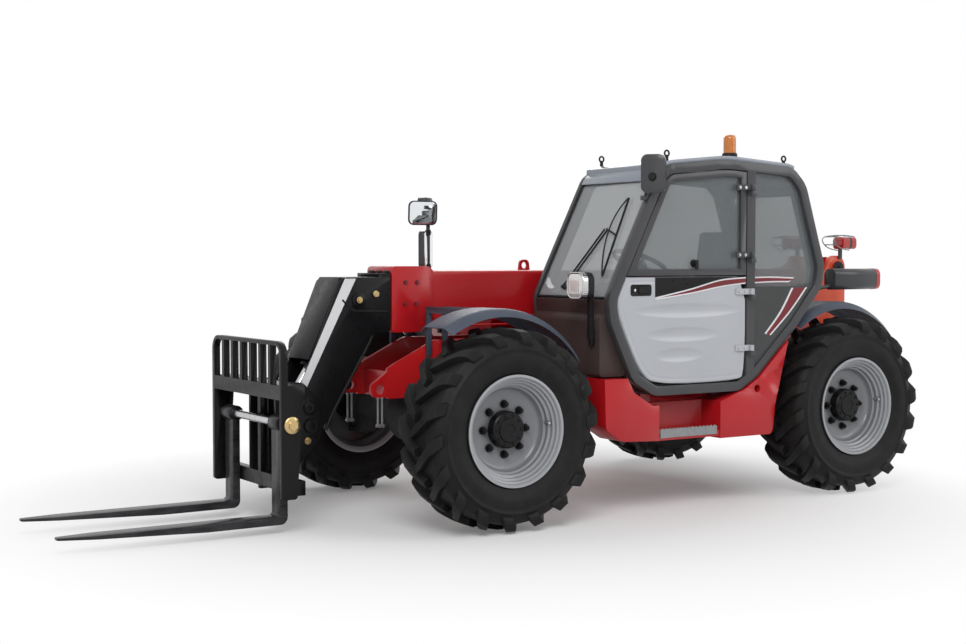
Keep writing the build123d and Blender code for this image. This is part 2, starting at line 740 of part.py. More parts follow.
def door_upper():
    part = door_leaf(SILL_HEIGHT + GAP, CAB_TOP) - side(pane_face(), FRAME_FACE, CAB_OUTER + CUT)
    for z in UPPER_HINGES:
        part += door_hinge(z)
    return part


def door_glass():
    return side(pane_face(), CAB_OUTER - 20 - GLASS, CAB_OUTER - 20)


def dashboard():
    """A shelf across the front with the steering column and wheel."""
    middle = (CABIN_Y[0] + CABIN_Y[1]) / 2
    part = box(CAB_FRONT - 190, CAB_FRONT, *CABIN_Y, FRONT_SILL - 240, FRONT_SILL - 40)
    part &= side(cab_profile(10), *CABIN_Y)
    foot = Vector(CAB_FRONT - 150, middle, FRONT_SILL - 165)
    head = Vector(CAB_FRONT - 370, middle, FRONT_SILL + 80)
    along = (head - foot).normalized()
    part += rod(foot, head, COLUMN_RADIUS) + rod(foot, foot + along * 140, COLUMN_RADIUS + 20)
    disc = Plane(origin=head, x_dir=(0, 1, 0), z_dir=along)
    ring = Circle(STEERING_RADIUS) - Circle(STEERING_RADIUS - STEERING_GRIP)
    spokes = Rectangle(2 * STEERING_RADIUS - STEERING_GRIP, STEERING_GRIP) + Circle(COLUMN_RADIUS + 15)
    return part + extrude(disc * (ring + spokes), STEERING_GRIP)


def seat():
    low = FLOOR_HEIGHT + SEAT_RISE
    high = low + CUSHION_HEIGHT
    back, front = CAB_REAR + 560, CAB_REAR + 560 + SEAT_DEPTH
    middle = (CABIN_Y[0] + CABIN_Y[1]) / 2
    y0, y1 = middle - SEAT_WIDTH / 2, middle + SEAT_WIDTH / 2
    part = box(back + 80, front - 80, y0 + 60, y1 - 60, FLOOR_HEIGHT, low)
    part += slab([(back, low), (front, low, 50), (front, high, 55), (back, high - 20)], y0, y1)
    crown = high + BACKREST_HEIGHT
    foot = low + 20
    rest = [(back + 80, foot), (back - 30, crown, 50), (back - 130, crown - 20, 50), (back - 60, foot)]
    return part + slab(rest, y0, y1)


def side_skirt():
    """The red sill under the cab, with a step let into it."""
    front = [
        (STEP_FRONT, STEP_Z),
        (SKIRT_FRONT - 140, STEP_Z + 13, 60),
        (SKIRT_FRONT - 10, STEP_Z + 95, 60),
        (SKIRT_FRONT, CAB_BOTTOM + 60),
        (SKIRT_FRONT - 180, CAB_BOTTOM + 60),
        (SKIRT_FRONT - 230, CAB_BOTTOM - 30),
        (SKIRT_FRONT - 380, CAB_BOTTOM - 120),
        (STEP_FRONT, CAB_BOTTOM - 120),
    ]
    rear = [
        (STEP_REAR, STEP_Z - 15),
        (SKIRT_REAR, STEP_Z - 15, 40),
        (SKIRT_REAR - 20, STEP_Z + 175),
        (SKIRT_REAR - 90, CAB_BOTTOM + 90, 60),
        (SKIRT_REAR - 140, CAB_BOTTOM + 270),
        (SKIRT_REAR - 80, CAB_BOTTOM + 250),
        (SKIRT_REAR + 220, CAB_BOTTOM - 40, 60),
        (STEP_REAR, CAB_BOTTOM - 120),
    ]
    part = slab(front, SKIRT_INNER, SKIRT_OUTER) + slab(rear, SKIRT_INNER, SKIRT_OUTER)
    part += box(STEP_REAR, STEP_FRONT, SKIRT_INNER, SKIRT_INNER + 40, STEP_Z, CAB_BOTTOM - 120)
    part += box(STEP_REAR, STEP_FRONT, SKIRT_INNER + 40, SKIRT_OUTER - 10, STEP_Z, STEP_Z + 40)
    part -= cross_rod((SKIRT_REAR + 140, CAB_BOTTOM - 50), SKIRT_HOLE, SKIRT_INNER - CUT, SKIRT_OUTER + CUT)
    return part - side(cab_profile(HOOP_WIDTH + GAP), SKIRT_INNER - CUT, SKIRT_OUTER + CUT)


# Lamps and mirrors
def headlamps():
    """One before the cab and one on the pod's front, each on a stalk."""
    part = Part()
    foot = LAMP_STALK / 2
    for x, y, z, drop in (
        (NOSE_X, CAB_OUTER - 115, FRONT_SILL + 90, 370),
        (POD_FRONT, 170 - POD_OUTER, POD_TOP + 120, 260),
    ):
        part += housing((x + 60, y, z), (1, 0), LAMP_WIDTH, LAMP_HEIGHT, LAMP_DEPTH, 55)
        part += box(x, x + LAMP_STALK, y - foot, y + foot, z - drop, z - drop + 100)
        part += box(x + 10, x + 10 + LAMP_STALK, y - foot, y + foot, z - drop + 40, z)
        part += box(x + 10, x + 61, y - foot, y + foot, z - LAMP_STALK, z)
    return part


def beacon():
    x, y, base = CAB_REAR + 700, CAB_OUTER - 115, CAB_TOP + 105
    part = post(x, y, BEACON_RADIUS + 8, CAB_TOP, base)
    part += post(x, y, BEACON_RADIUS, base, base + BEACON_HEIGHT)
    return part - side(cab_profile(HOOP_WIDTH + ROOF_CAP), y - 100, y + 100)


def rear_lamps():
    """A guarded lamp on each side of the tower, and a long tail lamp case over each rear wheel."""
    x, z = PIVOT[0] - 35, PIVOT_HEIGHT + TOWER_HALF
    width, height, depth = WORK_LAMP
    top = box(x - 15, x + 15, RAIL_OUTER, RAIL_OUTER + 15, z - 25, z + 65)
    back = (x + depth / 2, RAIL_OUTER + width / 2, z + 50 + height / 2)
    top += housing(back, (-1, 0), width, height, depth, 30)
    x, y, z = REAR_X - 150, KINGPIN_Y - 110, AXLE_Z + FENDER_RADIUS + 150
    width, height, depth = TAIL_CASE
    case = housing((x, y, z), (-1, 0), width, height, depth, 45)
    left = rod((x - 60, y, z - 40), (CAB_REAR + 120, y, SILL_HEIGHT - 150), MIRROR_TUBE)
    left -= side(cab_profile(HOOP_WIDTH - 5), y - 100, y + 100)
    right = post(x - 60, y, MIRROR_TUBE, z - 200, z)
    right -= cross_rod((REAR_X, AXLE_Z), FENDER_RADIUS - FENDER_SHEET / 2, y - 50, y + 50)
    right = flipped(right) - fenders(REAR_X, *REAR_ARC)
    return both_sides(top) + (case + left) + (flipped(case) + right)


def mirrors():
    """One on the cab's front pillar, and two on a tall tube before the pod."""
    x, z = CAB_FRONT - 255, CAB_TOP - 55
    width, height, depth = LEFT_MIRROR
    arm = CAB_OUTER - 25
    left = housing((x - 25, CAB_OUTER + 17, z), (0.78, 0.62), width, height, depth, 40)
    left += rod((x - 10, arm, z - 40), (x + 5, CAB_OUTER + 30, z - 20), MIRROR_TUBE - 4)
    left += rod((x + 15, arm, z - 150), (x - 10, arm, z - 30), MIRROR_TUBE - 4)
    left += box(x - 60, x + 40, arm - 15, arm + 15, z - 165, z - 135)
    left -= side(cab_profile(HOOP_WIDTH), CAB_INNER, CAB_OUTER)
    x, y = POD_FRONT + 220, 350 - POD_OUTER
    right = box(POD_FRONT, POD_FRONT + 30, y - 15, y + 15, POD_TOP - 180, POD_TOP - 80)
    right += rod((POD_FRONT + 15, y, POD_TOP - 120), (x, y, POD_TOP + 280), MIRROR_TUBE)
    right += post(x, y, MIRROR_TUBE, POD_TOP + 270, POD_TOP + 820)
    for (width, height, depth), rise in ((TALL_MIRROR, 460), (WIDE_MIRROR, 760)):
        right += housing((x, y, POD_TOP + rise), (0.6, -0.8), width, height, depth, 32)
    return left + right


# Boom
def section(x0, x1, inset):
    """A block as large as the boom's section, drawn in by an inset all round."""
    corner = max(BOOM_CORNER - inset, 2)
    face = RectangleRounded(BOOM_WIDTH - 2 * inset, BOOM_HEIGHT - 2 * inset, corner)
    return extrude(Plane.YZ.offset(x0) * Pos(0, BOOM_BOTTOM + BOOM_HEIGHT / 2) * face, x1 - x0)


def boom_outer():
    x, z = PIVOT
    root = x + 220
    part = section(root, BOOM_NOSE, 0)
    collar = [
        (BOOM_NOSE - COLLAR_LENGTH, BOOM_BOTTOM),
        (BOOM_NOSE - COLLAR_LENGTH + 110, BOOM_BOTTOM - 60, 30),
        (BOOM_NOSE, BOOM_BOTTOM - 60, 20),
        (BOOM_NOSE, BOOM_TOP + 28, 30),
        (BOOM_NOSE - COLLAR_LENGTH + 30, BOOM_TOP + 28, 50),
        (BOOM_NOSE - COLLAR_LENGTH, BOOM_TOP),
    ]
    part += slab(collar, -BOOM_HALF - COLLAR_SHEET, BOOM_HALF + COLLAR_SHEET)
    tail = [
        (root + BOOM_WALL, BOOM_BOTTOM),
        (root + BOOM_WALL, BOOM_TOP),
        (x + 100, z + 85, 80),
        (x - 85, z + 85, 84),
        (x - 85, z - 85, 84),
        (x + 100, BOOM_BOTTOM, 60),
    ]
    part += slab(tail, -BOOM_HALF, BOOM_HALF)
    part -= section(root + BOOM_WALL, BOOM_NOSE + CUT, BOOM_WALL)
    pad = section(BOOM_NOSE - 20 - WEAR_PAD, BOOM_NOSE - 20, BOOM_WALL - 1)
    part += pad - section(BOOM_NOSE - COLLAR_LENGTH, BOOM_NOSE, BOOM_WALL + SECTION_GAP - SEAT)
    part += cross_rod(PIVOT, PIVOT_PIN + 35, 6 - RAIL_INNER, RAIL_INNER - 6)
    part -= cross_rod(PIVOT, PIVOT_PIN + RUN, -RAIL_INNER, RAIL_INNER)
    eye_x, eye_z = LIFT_EYE
    ear = [
        (eye_x - 140, BOOM_BOTTOM + BOOM_WALL / 2),
        (eye_x - 60, eye_z - 55, 50),
        (eye_x + 60, eye_z - 55, 50),
        (eye_x + 140, BOOM_BOTTOM + BOOM_WALL / 2),
    ]
    lug = slab(ear, 55, 85) + cross_rod(LIFT_EYE, LIFT_PIN + 5, 55, 100)
    hook_x = FRONT_X - 825
    loop = [
        (hook_x - 45, BOOM_TOP - 4),
        (hook_x - 35, BOOM_TOP + 70, 30),
        (hook_x + 35, BOOM_TOP + 70, 30),
        (hook_x + 45, BOOM_TOP - 4),
    ]
    hook = slab(loop, -8, 8) - cross_rod((hook_x, BOOM_TOP + 32), 22, -9, 9)
    return part + both_sides(lug) + hook


def boom_inner():
    """The sliding section and its head, which reaches down in front to the carriage's pivot."""
    inset = BOOM_WALL + SECTION_GAP
    throat = BOOM_NOSE + 12
    root = PIVOT[0] + 450
    part = section(root, throat + 40, inset) + section(root, root + WEAR_PAD, BOOM_WALL + SEAT)
    flange = HEAD_HALF - 1
    part += box(throat, throat + 60, -flange, flange, BOOM_BOTTOM + inset - 10, BOOM_TOP - inset + 10)
    part -= section(root - CUT, throat + 60 + CUT, inset + 10)
    x, z = TILT
    brow = FRONT_X + 640
    cheek = [
        (throat, BOOM_BOTTOM - 60, 30),
        (throat, BOOM_TOP - 40, 20),
        (brow, BOOM_TOP - 40, 60),
        (x + 50, z + 215, 60),
        (x + 95, z + 20, 80),
        (x + 10, z - 95, 80),
        (x - 95, z - 40, 60),
        (throat + 130, BOOM_BOTTOM - 60, 60),
    ]
    part += both_sides(slab(cheek, HEAD_HALF - HEAD_CHEEK, HEAD_HALF))
    cover = [
        (throat, BOOM_TOP - 60),
        (throat, BOOM_TOP - 40),
        (brow, BOOM_TOP - 40),
        (x - 20, z + 400),
        (x - 42, z + 400),
        (brow - 20, BOOM_TOP - 60),
    ]
    inside = HEAD_HALF - HEAD_CHEEK + CUT
    part += slab(cover, -inside, inside)
    part += cross_rod(TILT, TILT_PIN, -HEAD_HALF - GUSSET_SHEET - 20, HEAD_HALF + GUSSET_SHEET + 20)
    part += cross_rod(TILT_BASE, EYE_PIN, -HEAD_HALF - 20, HEAD_HALF + 20)
    return part + both_sides(cross_rod(TILT_BASE, EYE_PIN + 20, HEAD_HALF, HEAD_HALF + 12))


def barrel(base, tip, start, length, radius, bore, pin, width):
    origin = Vector(base[0], 0, base[1])
    along = (Vector(tip[0], 0, tip[1]) - origin).normalized()
    part = rod(origin + along * start, origin + along * length, radius)
    part += rod(origin + along * (length - 40), origin + along * length, radius + 8)
    part += cross_rod(base, pin + 25, -width, width)
    part -= cross_rod(base, pin + RUN, -width - CUT, width + CUT)
    return part - rod(origin + along * (start + pin + 30), origin + along * (length + CUT), bore + RUN)


def piston_rod(base, tip, start, radius, pin, width):
    origin, end = Vector(base[0], 0, base[1]), Vector(tip[0], 0, tip[1])
    along = (end - origin).normalized()
    part = rod(origin + along * start, end, radius) + cross_rod(tip, pin + 18, -width, width)
    return part - cross_rod(tip, pin, -width - CUT, width + CUT)


# Carriage and forks
def load_guard(front):
    """A hoop with bent corners over the carriage, with upright bars in it."""
    half, low, top, bar = CARRIAGE_WIDTH / 2, GUARD_FOOT, GUARD_HEIGHT, GUARD_BAR
    bend = 90
    back = front - GUARD_DEPTH
    hoop = cross([(-half, low), (half, low), (half, top, bend), (-half, top, bend)], back, front)
    inner, sill, rail = half - bar, low + CROSSBAR, top - bar * 0.7
    hole = [(-inner, sill), (inner, sill), (inner, rail, bend - bar), (-inner, rail, bend - bar)]
    hoop -= cross(hole, back - CUT, front + CUT)
    pitch = 2 * inner / (GUARD_BARS + 1)
    for i in range(GUARD_BARS):
        y = pitch * (i + 1) - inner
        hoop += box(back, front, y - bar / 2, y + bar / 2, sill - CUT, rail + CUT)
    return hoop


def fork_carriage():
    half = CARRIAGE_WIDTH / 2
    back = HEEL_X - 4
    front = HEEL_X + FORK_THICKNESS + 40
    x, z = TILT
    low, top = AXLE_Z - 390, GUARD_FOOT
    part = load_guard(front)
    plate = [(back - 50, top + CROSSBAR, 30), (back - 10, low, 20), (front, low, 20), (front, top + CROSSBAR)]
    part += both_sides(slab(plate, half - CARRIAGE_PLATE, half))
    for foot in (low + 20, top):
        part += box(back - 60, back, -half, half, foot, foot + CROSSBAR)
    part += box(back - 60, front - GUARD_DEPTH, -half, half, top + 25, top + CROSSBAR)
    part += box(back - 60, back, -20, 20, low, top + 40)
    inner = HEAD_HALF + 8
    gusset = [
        (back - 20, top + CROSSBAR),
        (x + 45, z + 265, 50),
        (x - 45, z + 170, 60),
        (x - 90, z, 60),
        (x - 60, z - 90, 60),
        (x + 90, z - 250, 80),
        (back - 60, low + 20),
        (back - 20, low + 20),
    ]
    web = slab(gusset, inner, inner + GUSSET_SHEET)
    web += cross_rod(TILT, TILT_PIN + 28, inner, inner + GUSSET_SHEET + 4)
    web += cross_rod((x + 10, z + 110), 32, inner, inner + GUSSET_SHEET + 14)
    web -= cross_rod(TILT, TILT_PIN + RUN, inner - CUT, inner + GUSSET_SHEET + 5)
    part += both_sides(web)
    ear = [
        (x - 55, z),
        (TILT_EYE[0] - 45, TILT_EYE[1] + 45, 44),
        (TILT_EYE[0] + 45, TILT_EYE[1] + 45, 44),
        (back - 30, top + 40),
        (back - 30, low + 60),
        (back - 60, low + 60),
        (x + 20, z - 60, 60),
        (x - 55, z - 60, 50),
    ]
    arm = slab(ear, 45, 70) + cross_rod(TILT_EYE, EYE_PIN + 5, 45, 80)
    part += both_sides(arm) + cross_rod(TILT, TILT_PIN + 25, -134, 134)
    part -= cross_rod(TILT, TILT_PIN + RUN, -135, 135)
    return part + cross_rod(SHAFT, SHAFT_RADIUS, 5 - half, half - 5)


def fork(y):
    top = FORK_GROUND + FORK_THICKNESS
    shape = [
        (HEEL_X, SHAFT[1] - 20),
        (HEEL_X + FORK_THICKNESS, SHAFT[1] - 20),
        (HEEL_X + FORK_THICKNESS, top, 20),
        (FORK_TIP, top),
        (FORK_TIP, top - 12),
        (HEEL_X + 500, FORK_GROUND),
        (HEEL_X, FORK_GROUND, 45),
    ]
    half = FORK_WIDTH / 2
    part = slab(shape, y - half, y + half)
    taper = [
        (HEEL_X - CUT, y - half - CUT),
        (HEEL_X - CUT, y + half + CUT),
        (FORK_TIP - 220, y + half + CUT),
        (FORK_TIP, y + half / 2, 20),
        (FORK_TIP, y - half / 2, 20),
        (FORK_TIP - 220, y - half - CUT),
    ]
    part &= plan(taper, 0, SHAFT[1])
    part += cross_rod(SHAFT, SHAFT_RADIUS + 23, y - half, y + half)
    return part - cross_rod(SHAFT, SHAFT_RADIUS + SEAT, y - half - CUT, y + half + CUT)


FRONT_ARC = (58, 146)
REAR_ARC = (54, 150)

PARTS = {
    "chassis_left_plate": chassis_plate(1),
    "chassis_right_plate": chassis_plate(-1),
    "chassis_cross": chassis_cross(),
    "counterweight": counterweight(),
    "front_axle": axle(FRONT_X),
    "rear_axle": axle(REAR_X),
    "front_fenders": fenders(FRONT_X, *FRONT_ARC),
    "rear_fenders": fenders(REAR_X, *REAR_ARC),
    "engine_pod": engine_pod(),
    "engine_block": engine_block(),
    "engine_hood": engine_hood(),
    "cab_left_frame": cab_left_frame(),
    "cab_floor": cab_floor(),
    "cab_right_wall": cab_right_wall(),
    "cab_rear_wall": cab_rear_wall(),
    "cab_roof": cab_roof(),
    "cab_front_panel": cab_front_panel(),
    "windshield": windshield(),
    "cab_glass": cab_glass(),
    "door_lower": door_lower(),
    "door_upper": door_upper(),
    "door_glass": door_glass(),
    "dashboard": dashboard(),
    "seat": seat(),
    "side_skirt": side_skirt(),
    "headlamps": headlamps(),
    "beacon": beacon(),
    "rear_lamps": rear_lamps(),
    "mirrors": mirrors(),
    "boom_outer": boom_outer(),
    "boom_inner": boom_inner(),
    "lift_barrel": barrel(LIFT_BASE, LIFT_EYE, 40, 880, LIFT_BARREL, LIFT_BORE, LIFT_PIN, 90),
    "lift_rod": piston_rod(LIFT_BASE, LIFT_EYE, 130, LIFT_BORE, LIFT_PIN, 50),
    "tilt_barrel": barrel(TILT_BASE, TILT_EYE, 30, 500, TILT_BARREL, TILT_BORE, EYE_PIN, 60),
    "tilt_rod": piston_rod(TILT_BASE, TILT_EYE, 125, TILT_BORE, EYE_PIN, 40),
    "fork_carriage": fork_carriage(),
    "fork_left": fork(FORK_SPACING / 2),
    "fork_right": fork(-FORK_SPACING / 2),
}
for end, x in (("front", FRONT_X), ("rear", REAR_X)):
    for name, hand in (("left", 1), ("right", -1)):
        PARTS[f"knuckle_{end}_{name}"] = knuckle(x, hand)
        PARTS[f"rim_{end}_{name}"] = wheel_rim(x, hand)
        PARTS[f"tyre_{end}_{name}"] = tyre(x, hand)

for name, part in PARTS.items():
    export_step(Pos(SHIFT, 0, 0) * part, f"parts/{name}.step")
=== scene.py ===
import math

import bmesh
import bpy
from mathutils import Matrix, Vector

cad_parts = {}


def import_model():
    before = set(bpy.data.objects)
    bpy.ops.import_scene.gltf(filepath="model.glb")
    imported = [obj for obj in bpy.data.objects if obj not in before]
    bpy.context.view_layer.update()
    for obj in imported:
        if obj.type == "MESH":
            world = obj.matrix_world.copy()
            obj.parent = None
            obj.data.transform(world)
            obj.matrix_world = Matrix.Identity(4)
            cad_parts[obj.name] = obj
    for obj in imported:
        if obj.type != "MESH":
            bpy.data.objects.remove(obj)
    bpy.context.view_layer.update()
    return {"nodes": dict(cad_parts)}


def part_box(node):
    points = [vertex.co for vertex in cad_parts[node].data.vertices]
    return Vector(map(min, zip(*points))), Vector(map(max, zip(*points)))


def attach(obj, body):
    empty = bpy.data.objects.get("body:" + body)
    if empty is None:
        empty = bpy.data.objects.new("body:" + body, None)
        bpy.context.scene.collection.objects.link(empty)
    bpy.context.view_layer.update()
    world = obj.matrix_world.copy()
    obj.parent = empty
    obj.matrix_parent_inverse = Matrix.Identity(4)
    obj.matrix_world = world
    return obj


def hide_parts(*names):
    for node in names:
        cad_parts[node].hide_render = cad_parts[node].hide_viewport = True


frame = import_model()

NODES = frame["nodes"]


# Places: metres from a point on the ground under the middle of the wheelbase, X forward, Y to the cab side
def middle(node):
    low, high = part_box(node)
    return (low + high) / 2


FRONT_HUB = middle("tyre_front_left")
REAR_HUB = middle("tyre_rear_left")
MID = (FRONT_HUB.x + REAR_HUB.x) / 2
TYRE_RADIUS = FRONT_HUB.z


def at(x, y, z):
    return Vector((x + MID, y, z))


FORWARD, BACKWARD = (1, 0, 0), (-1, 0, 0)
LEFT, RIGHT = (0, 1, 0), (0, -1, 0)
UP, DOWN = (0, 0, 1), (0, 0, -1)


# Materials
def material(name):
    made = bpy.data.materials.new(name)
    made.use_nodes = True
    nodes = made.node_tree.nodes
    return made, nodes, made.node_tree.links, nodes["Principled BSDF"]


def put(node, values):
    for socket, value in values.items():
        node.inputs[socket].default_value = value


def noise(nodes, links, scale, detail=4.0, stretch=None):
    coords = nodes.new("ShaderNodeTexCoord")
    texture = nodes.new("ShaderNodeTexNoise")
    put(texture, {"Scale": scale, "Detail": detail})
    source = coords.outputs["Object"]
    if stretch:
        mapping = nodes.new("ShaderNodeMapping")
        put(mapping, {"Scale": stretch})
        links.new(source, mapping.inputs["Vector"])
        source = mapping.outputs["Vector"]
    links.new(source, texture.inputs["Vector"])
    return texture.outputs["Fac"]


def spread(nodes, links, source, low, high, start=0.3, end=0.7):
    node = nodes.new("ShaderNodeMapRange")
    put(node, {"From Min": start, "From Max": end, "To Min": low, "To Max": high})
    links.new(source, node.inputs["Value"])
    return node.outputs["Result"]


def blend_colour(nodes, links, factor, first, second):
    mix = nodes.new("ShaderNodeMix")
    mix.data_type = "RGBA"
    put(mix, {"A": (*first, 1), "B": (*second, 1)})
    links.new(factor, mix.inputs["Factor"])
    return mix.outputs["Result"]


def combine(nodes, links, operation, first, second):
    node = nodes.new("ShaderNodeMath")
    node.operation = operation
    links.new(first, node.inputs[0])
    links.new(second, node.inputs[1])
    return node.outputs[0]


COAT_ROUGHNESS = 0.12
GRAIN_DEPTH = 0.002
MOTTLE_FINENESS = 9


def surface(
    name, colour, second, rough, patch=6.0, grain=0.0, fine=400.0,
    metal=0.0, coat=0.0, gloss=0.5, stretch=None,
):
    """A finish whose colour drifts between two tones, with a spread of roughness and a fine grain."""
    made, nodes, links, shader = material(name)
    drift = noise(nodes, links, patch, stretch=stretch)
    tone = blend_colour(nodes, links, spread(nodes, links, drift, 0, 1), colour, second)
    links.new(tone, shader.inputs["Base Color"])
    mottle = noise(nodes, links, patch * MOTTLE_FINENESS, stretch=stretch)
    links.new(spread(nodes, links, mottle, rough[0], rough[1]), shader.inputs["Roughness"])
    put(shader, {"Metallic": metal, "Specular IOR Level": gloss})
    put(shader, {"Coat Weight": coat, "Coat Roughness": COAT_ROUGHNESS})
    if grain:
        bump = nodes.new("ShaderNodeBump")
        put(bump, {"Strength": grain, "Distance": GRAIN_DEPTH})
        links.new(noise(nodes, links, fine, 2.0, stretch), bump.inputs["Height"])
        links.new(bump.outputs["Normal"], shader.inputs["Normal"])
    return made


def glass(name, tint, clear):
    """Thin tinted glazing: part of the light goes straight through, the rest is the tint's own gloss."""
    made, nodes, links, shader = material(name)
    smear = spread(nodes, links, noise(nodes, links, 3.0), 0, 1)
    tone = blend_colour(nodes, links, smear, tint, [0.9 * part for part in tint])
    links.new(tone, shader.inputs["Base Color"])
    put(shader, {"Roughness": 0.03, "Alpha": 1 - clear, "Specular IOR Level": 0.6})
    return made


def lens(name, colour, second):
    """A coloured lens: clear plastic with a little of its own light."""
    made = surface(name, colour, second, (0.08, 0.16), patch=9, coat=0.6)
    shader = made.node_tree.nodes["Principled BSDF"]
    put(shader, {"Emission Color": (*colour, 1), "Emission Strength": 0.04})
    return made


def paint(name, colour, second, coat=0.2):
    return surface(name, colour, second, (0.285, 0.305), patch=1.6, coat=coat, gloss=0.35)


def recolour(made, factor, second):
    """Mixes a second colour into a finish where factor, made by a function of its nodes, says."""
    nodes, links = made.node_tree.nodes, made.node_tree.links
    socket = nodes["Principled BSDF"].inputs["Base Color"]
    mix = nodes.new("ShaderNodeMix")
    mix.data_type = "RGBA"
    links.new(socket.links[0].from_socket, mix.inputs["A"])
    put(mix, {"B": (*second, 1)})
    links.new(factor(nodes, links), mix.inputs["Factor"])
    links.new(mix.outputs["Result"], socket)
    return made


def painted_recess_shade(reach):
    """Painted shade: near 1 in hollows and corners, 0 on open faces."""
    def factor(nodes, links):
        shade = nodes.new("ShaderNodeAmbientOcclusion")
        shade.samples = 8
        put(shade, {"Distance": reach})
        return spread(nodes, links, shade.outputs["AO"], 1, 0, 0.2, 1.0)
    return factor


def behind(start, end):
    """Rises from 0 to 1 towards the tail: the mask of the tower's painted light."""
    def factor(nodes, links):
        coords = nodes.new("ShaderNodeTexCoord")
        split = nodes.new("ShaderNodeSeparateXYZ")
        links.new(coords.outputs["Object"], split.inputs["Vector"])
        return spread(nodes, links, split.outputs["X"], 1, 0, end + MID, start + MID)
    return factor


def dark(name, colour, second, rough, **extra):
    return surface(name, colour, second, rough, gloss=0.18, **extra)


MATERIALS = {
    "red": paint("red_paint", (0.46, 0.009, 0.014), (0.42, 0.007, 0.011)),
    "wine": paint("wine_paint", (0.17, 0.006, 0.013), (0.14, 0.005, 0.011)),
    # The tower's lighter orange towards the tail is painted light, mixed over its red paint
    "tower": recolour(
        paint("tower_paint_with_painted_light", (0.5, 0.012, 0.014), (0.45, 0.01, 0.012)),
        behind(-1.75, -2.05),
        (0.7, 0.08, 0.028),
    ),
    "silver": paint("silver_paint", (0.42, 0.435, 0.465), (0.45, 0.465, 0.495)),
    "roof": paint("roof_paint", (0.215, 0.24, 0.285), (0.245, 0.27, 0.315)),
    # The rim's dark hollows are painted shade: a near-black mixed in where ambient occlusion finds recesses
    "rim": recolour(
        paint("rim_paint_with_painted_shade", (0.36, 0.37, 0.39), (0.32, 0.33, 0.35)),
        painted_recess_shade(0.24),
        (0.02, 0.021, 0.023),
    ),
    "white": paint("white_stripe", (0.76, 0.76, 0.78), (0.69, 0.69, 0.71), coat=0.1),
    "black": dark("black_paint", (0.005, 0.005, 0.006), (0.009, 0.009, 0.01), (0.26, 0.38), patch=3),
    "frame": dark(
        "cab_frame_paint", (0.046, 0.047, 0.051), (0.058, 0.059, 0.063),
        (0.3, 0.4), patch=3, coat=0.3,
    ),
    # Dark grey plastic with a red-brown cast painted in: the cast is a painted reflection of the red boom
    "panel": dark(
        "front_panel_with_painted_reflection", (0.047, 0.032, 0.03), (0.06, 0.042, 0.039),
        (0.4, 0.55), grain=0.25,
    ),
    "slate": dark(
        "fender_plastic", (0.062, 0.075, 0.102), (0.076, 0.09, 0.12),
        (0.34, 0.48), grain=0.3, fine=700,
    ),
    "rubber": dark(
        "tyre_rubber", (0.006, 0.006, 0.006), (0.012, 0.011, 0.011),
        (0.45, 0.62), patch=14, grain=0.3, fine=260,
    ),
    "trim": dark(
        "trim_plastic", (0.008, 0.008, 0.009), (0.013, 0.013, 0.014),
        (0.4, 0.6), patch=20, grain=0.3, fine=900,
    ),
    "iron": dark(
        "cast_iron", (0.018, 0.019, 0.021), (0.03, 0.03, 0.032),
        (0.5, 0.7), patch=10, grain=0.5, fine=180,
    ),
    "fabric": dark(
        "seat_fabric", (0.03, 0.034, 0.037), (0.05, 0.055, 0.06),
        (0.8, 0.95), patch=60, grain=0.6, fine=900,
    ),
    "gloss": dark(
        "dark_pane", (0.022, 0.026, 0.027), (0.032, 0.037, 0.037),
        (0.05, 0.12), patch=4, coat=0.7,
    ),
    "steel": surface(
        "bright_steel", (0.58, 0.58, 0.6), (0.48, 0.48, 0.5),
        (0.16, 0.34), patch=12, metal=1.0,
    ),
    "worn": dark(
        "worn_steel", (0.016, 0.016, 0.018), (0.05, 0.05, 0.053),
        (0.25, 0.42), metal=0.4, stretch=(1, 5, 5),
    ),
    "zinc": surface(
        "yellow_zinc", (0.62, 0.47, 0.22), (0.55, 0.4, 0.2),
        (0.2, 0.36), patch=40, metal=1.0,
    ),
    "grip": surface(
        "grey_steel", (0.22, 0.225, 0.23), (0.28, 0.285, 0.29),
        (0.4, 0.55), patch=16, grain=0.1, metal=0.5,
    ),
    "mirror": surface("mirror_glass", (0.8, 0.82, 0.84), (0.76, 0.78, 0.8), (0.02, 0.05), metal=1.0),
    "lamp": surface(
        "lamp_glass", (0.66, 0.66, 0.64), (0.74, 0.73, 0.7),
        (0.04, 0.1), patch=50, metal=0.2, coat=1.0,
    ),
    "amber": lens("amber_lens", (0.62, 0.19, 0.01), (0.46, 0.115, 0.008)),
    "red_lens": lens("red_lens", (0.46, 0.016, 0.012), (0.36, 0.01, 0.01)),
    "glass": glass("tinted_glass", (0.2, 0.225, 0.235), 0.55),
    "screen": glass("windshield_glass", (0.46, 0.49, 0.51), 0.58),
}


# Shape helpers: those named add_ add to a bmesh
def smooth(mesh, angle):
    for face in mesh.polygons:
        face.use_smooth = True
    mesh.set_sharp_from_angle(angle=math.radians(angle))


def bevel(obj, width, segments=2, angle=40):
    tool = obj.modifiers.new("bevel", "BEVEL")
    tool.width = width
    tool.segments = segments
    tool.limit_method = "ANGLE"
    tool.angle_limit = math.radians(angle)
    tool.harden_normals = True


def linked(name, data):
    obj = bpy.data.objects.new(name, data)
    bpy.context.scene.collection.objects.link(obj)
    return obj


def piece(name, bm, finish, body="machine", edge=0.0, angle=35, replaces=()):
    mesh = bpy.data.meshes.new(name)
    bmesh.ops.recalc_face_normals(bm, faces=bm.faces)
    bm.to_mesh(mesh)
    bm.free()
    smooth(mesh, angle)
    obj = linked(name, mesh)
    mesh.materials.append(MATERIALS[finish])
    if edge:
        bevel(obj, edge)
    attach(obj, body)
    if replaces:
        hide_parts(*replaces)
    return obj


def add_block(bm, low, high):
    """A box between two corners."""
    low, high = Vector(low), Vector(high)
    place = Matrix.Translation((low + high) / 2)
    bmesh.ops.create_cube(bm, size=1, matrix=place @ Matrix.Diagonal((*(high - low), 1)))


def frame_along(direction):
    return Vector(direction).to_track_quat("Z", "Y").to_matrix().to_4x4()


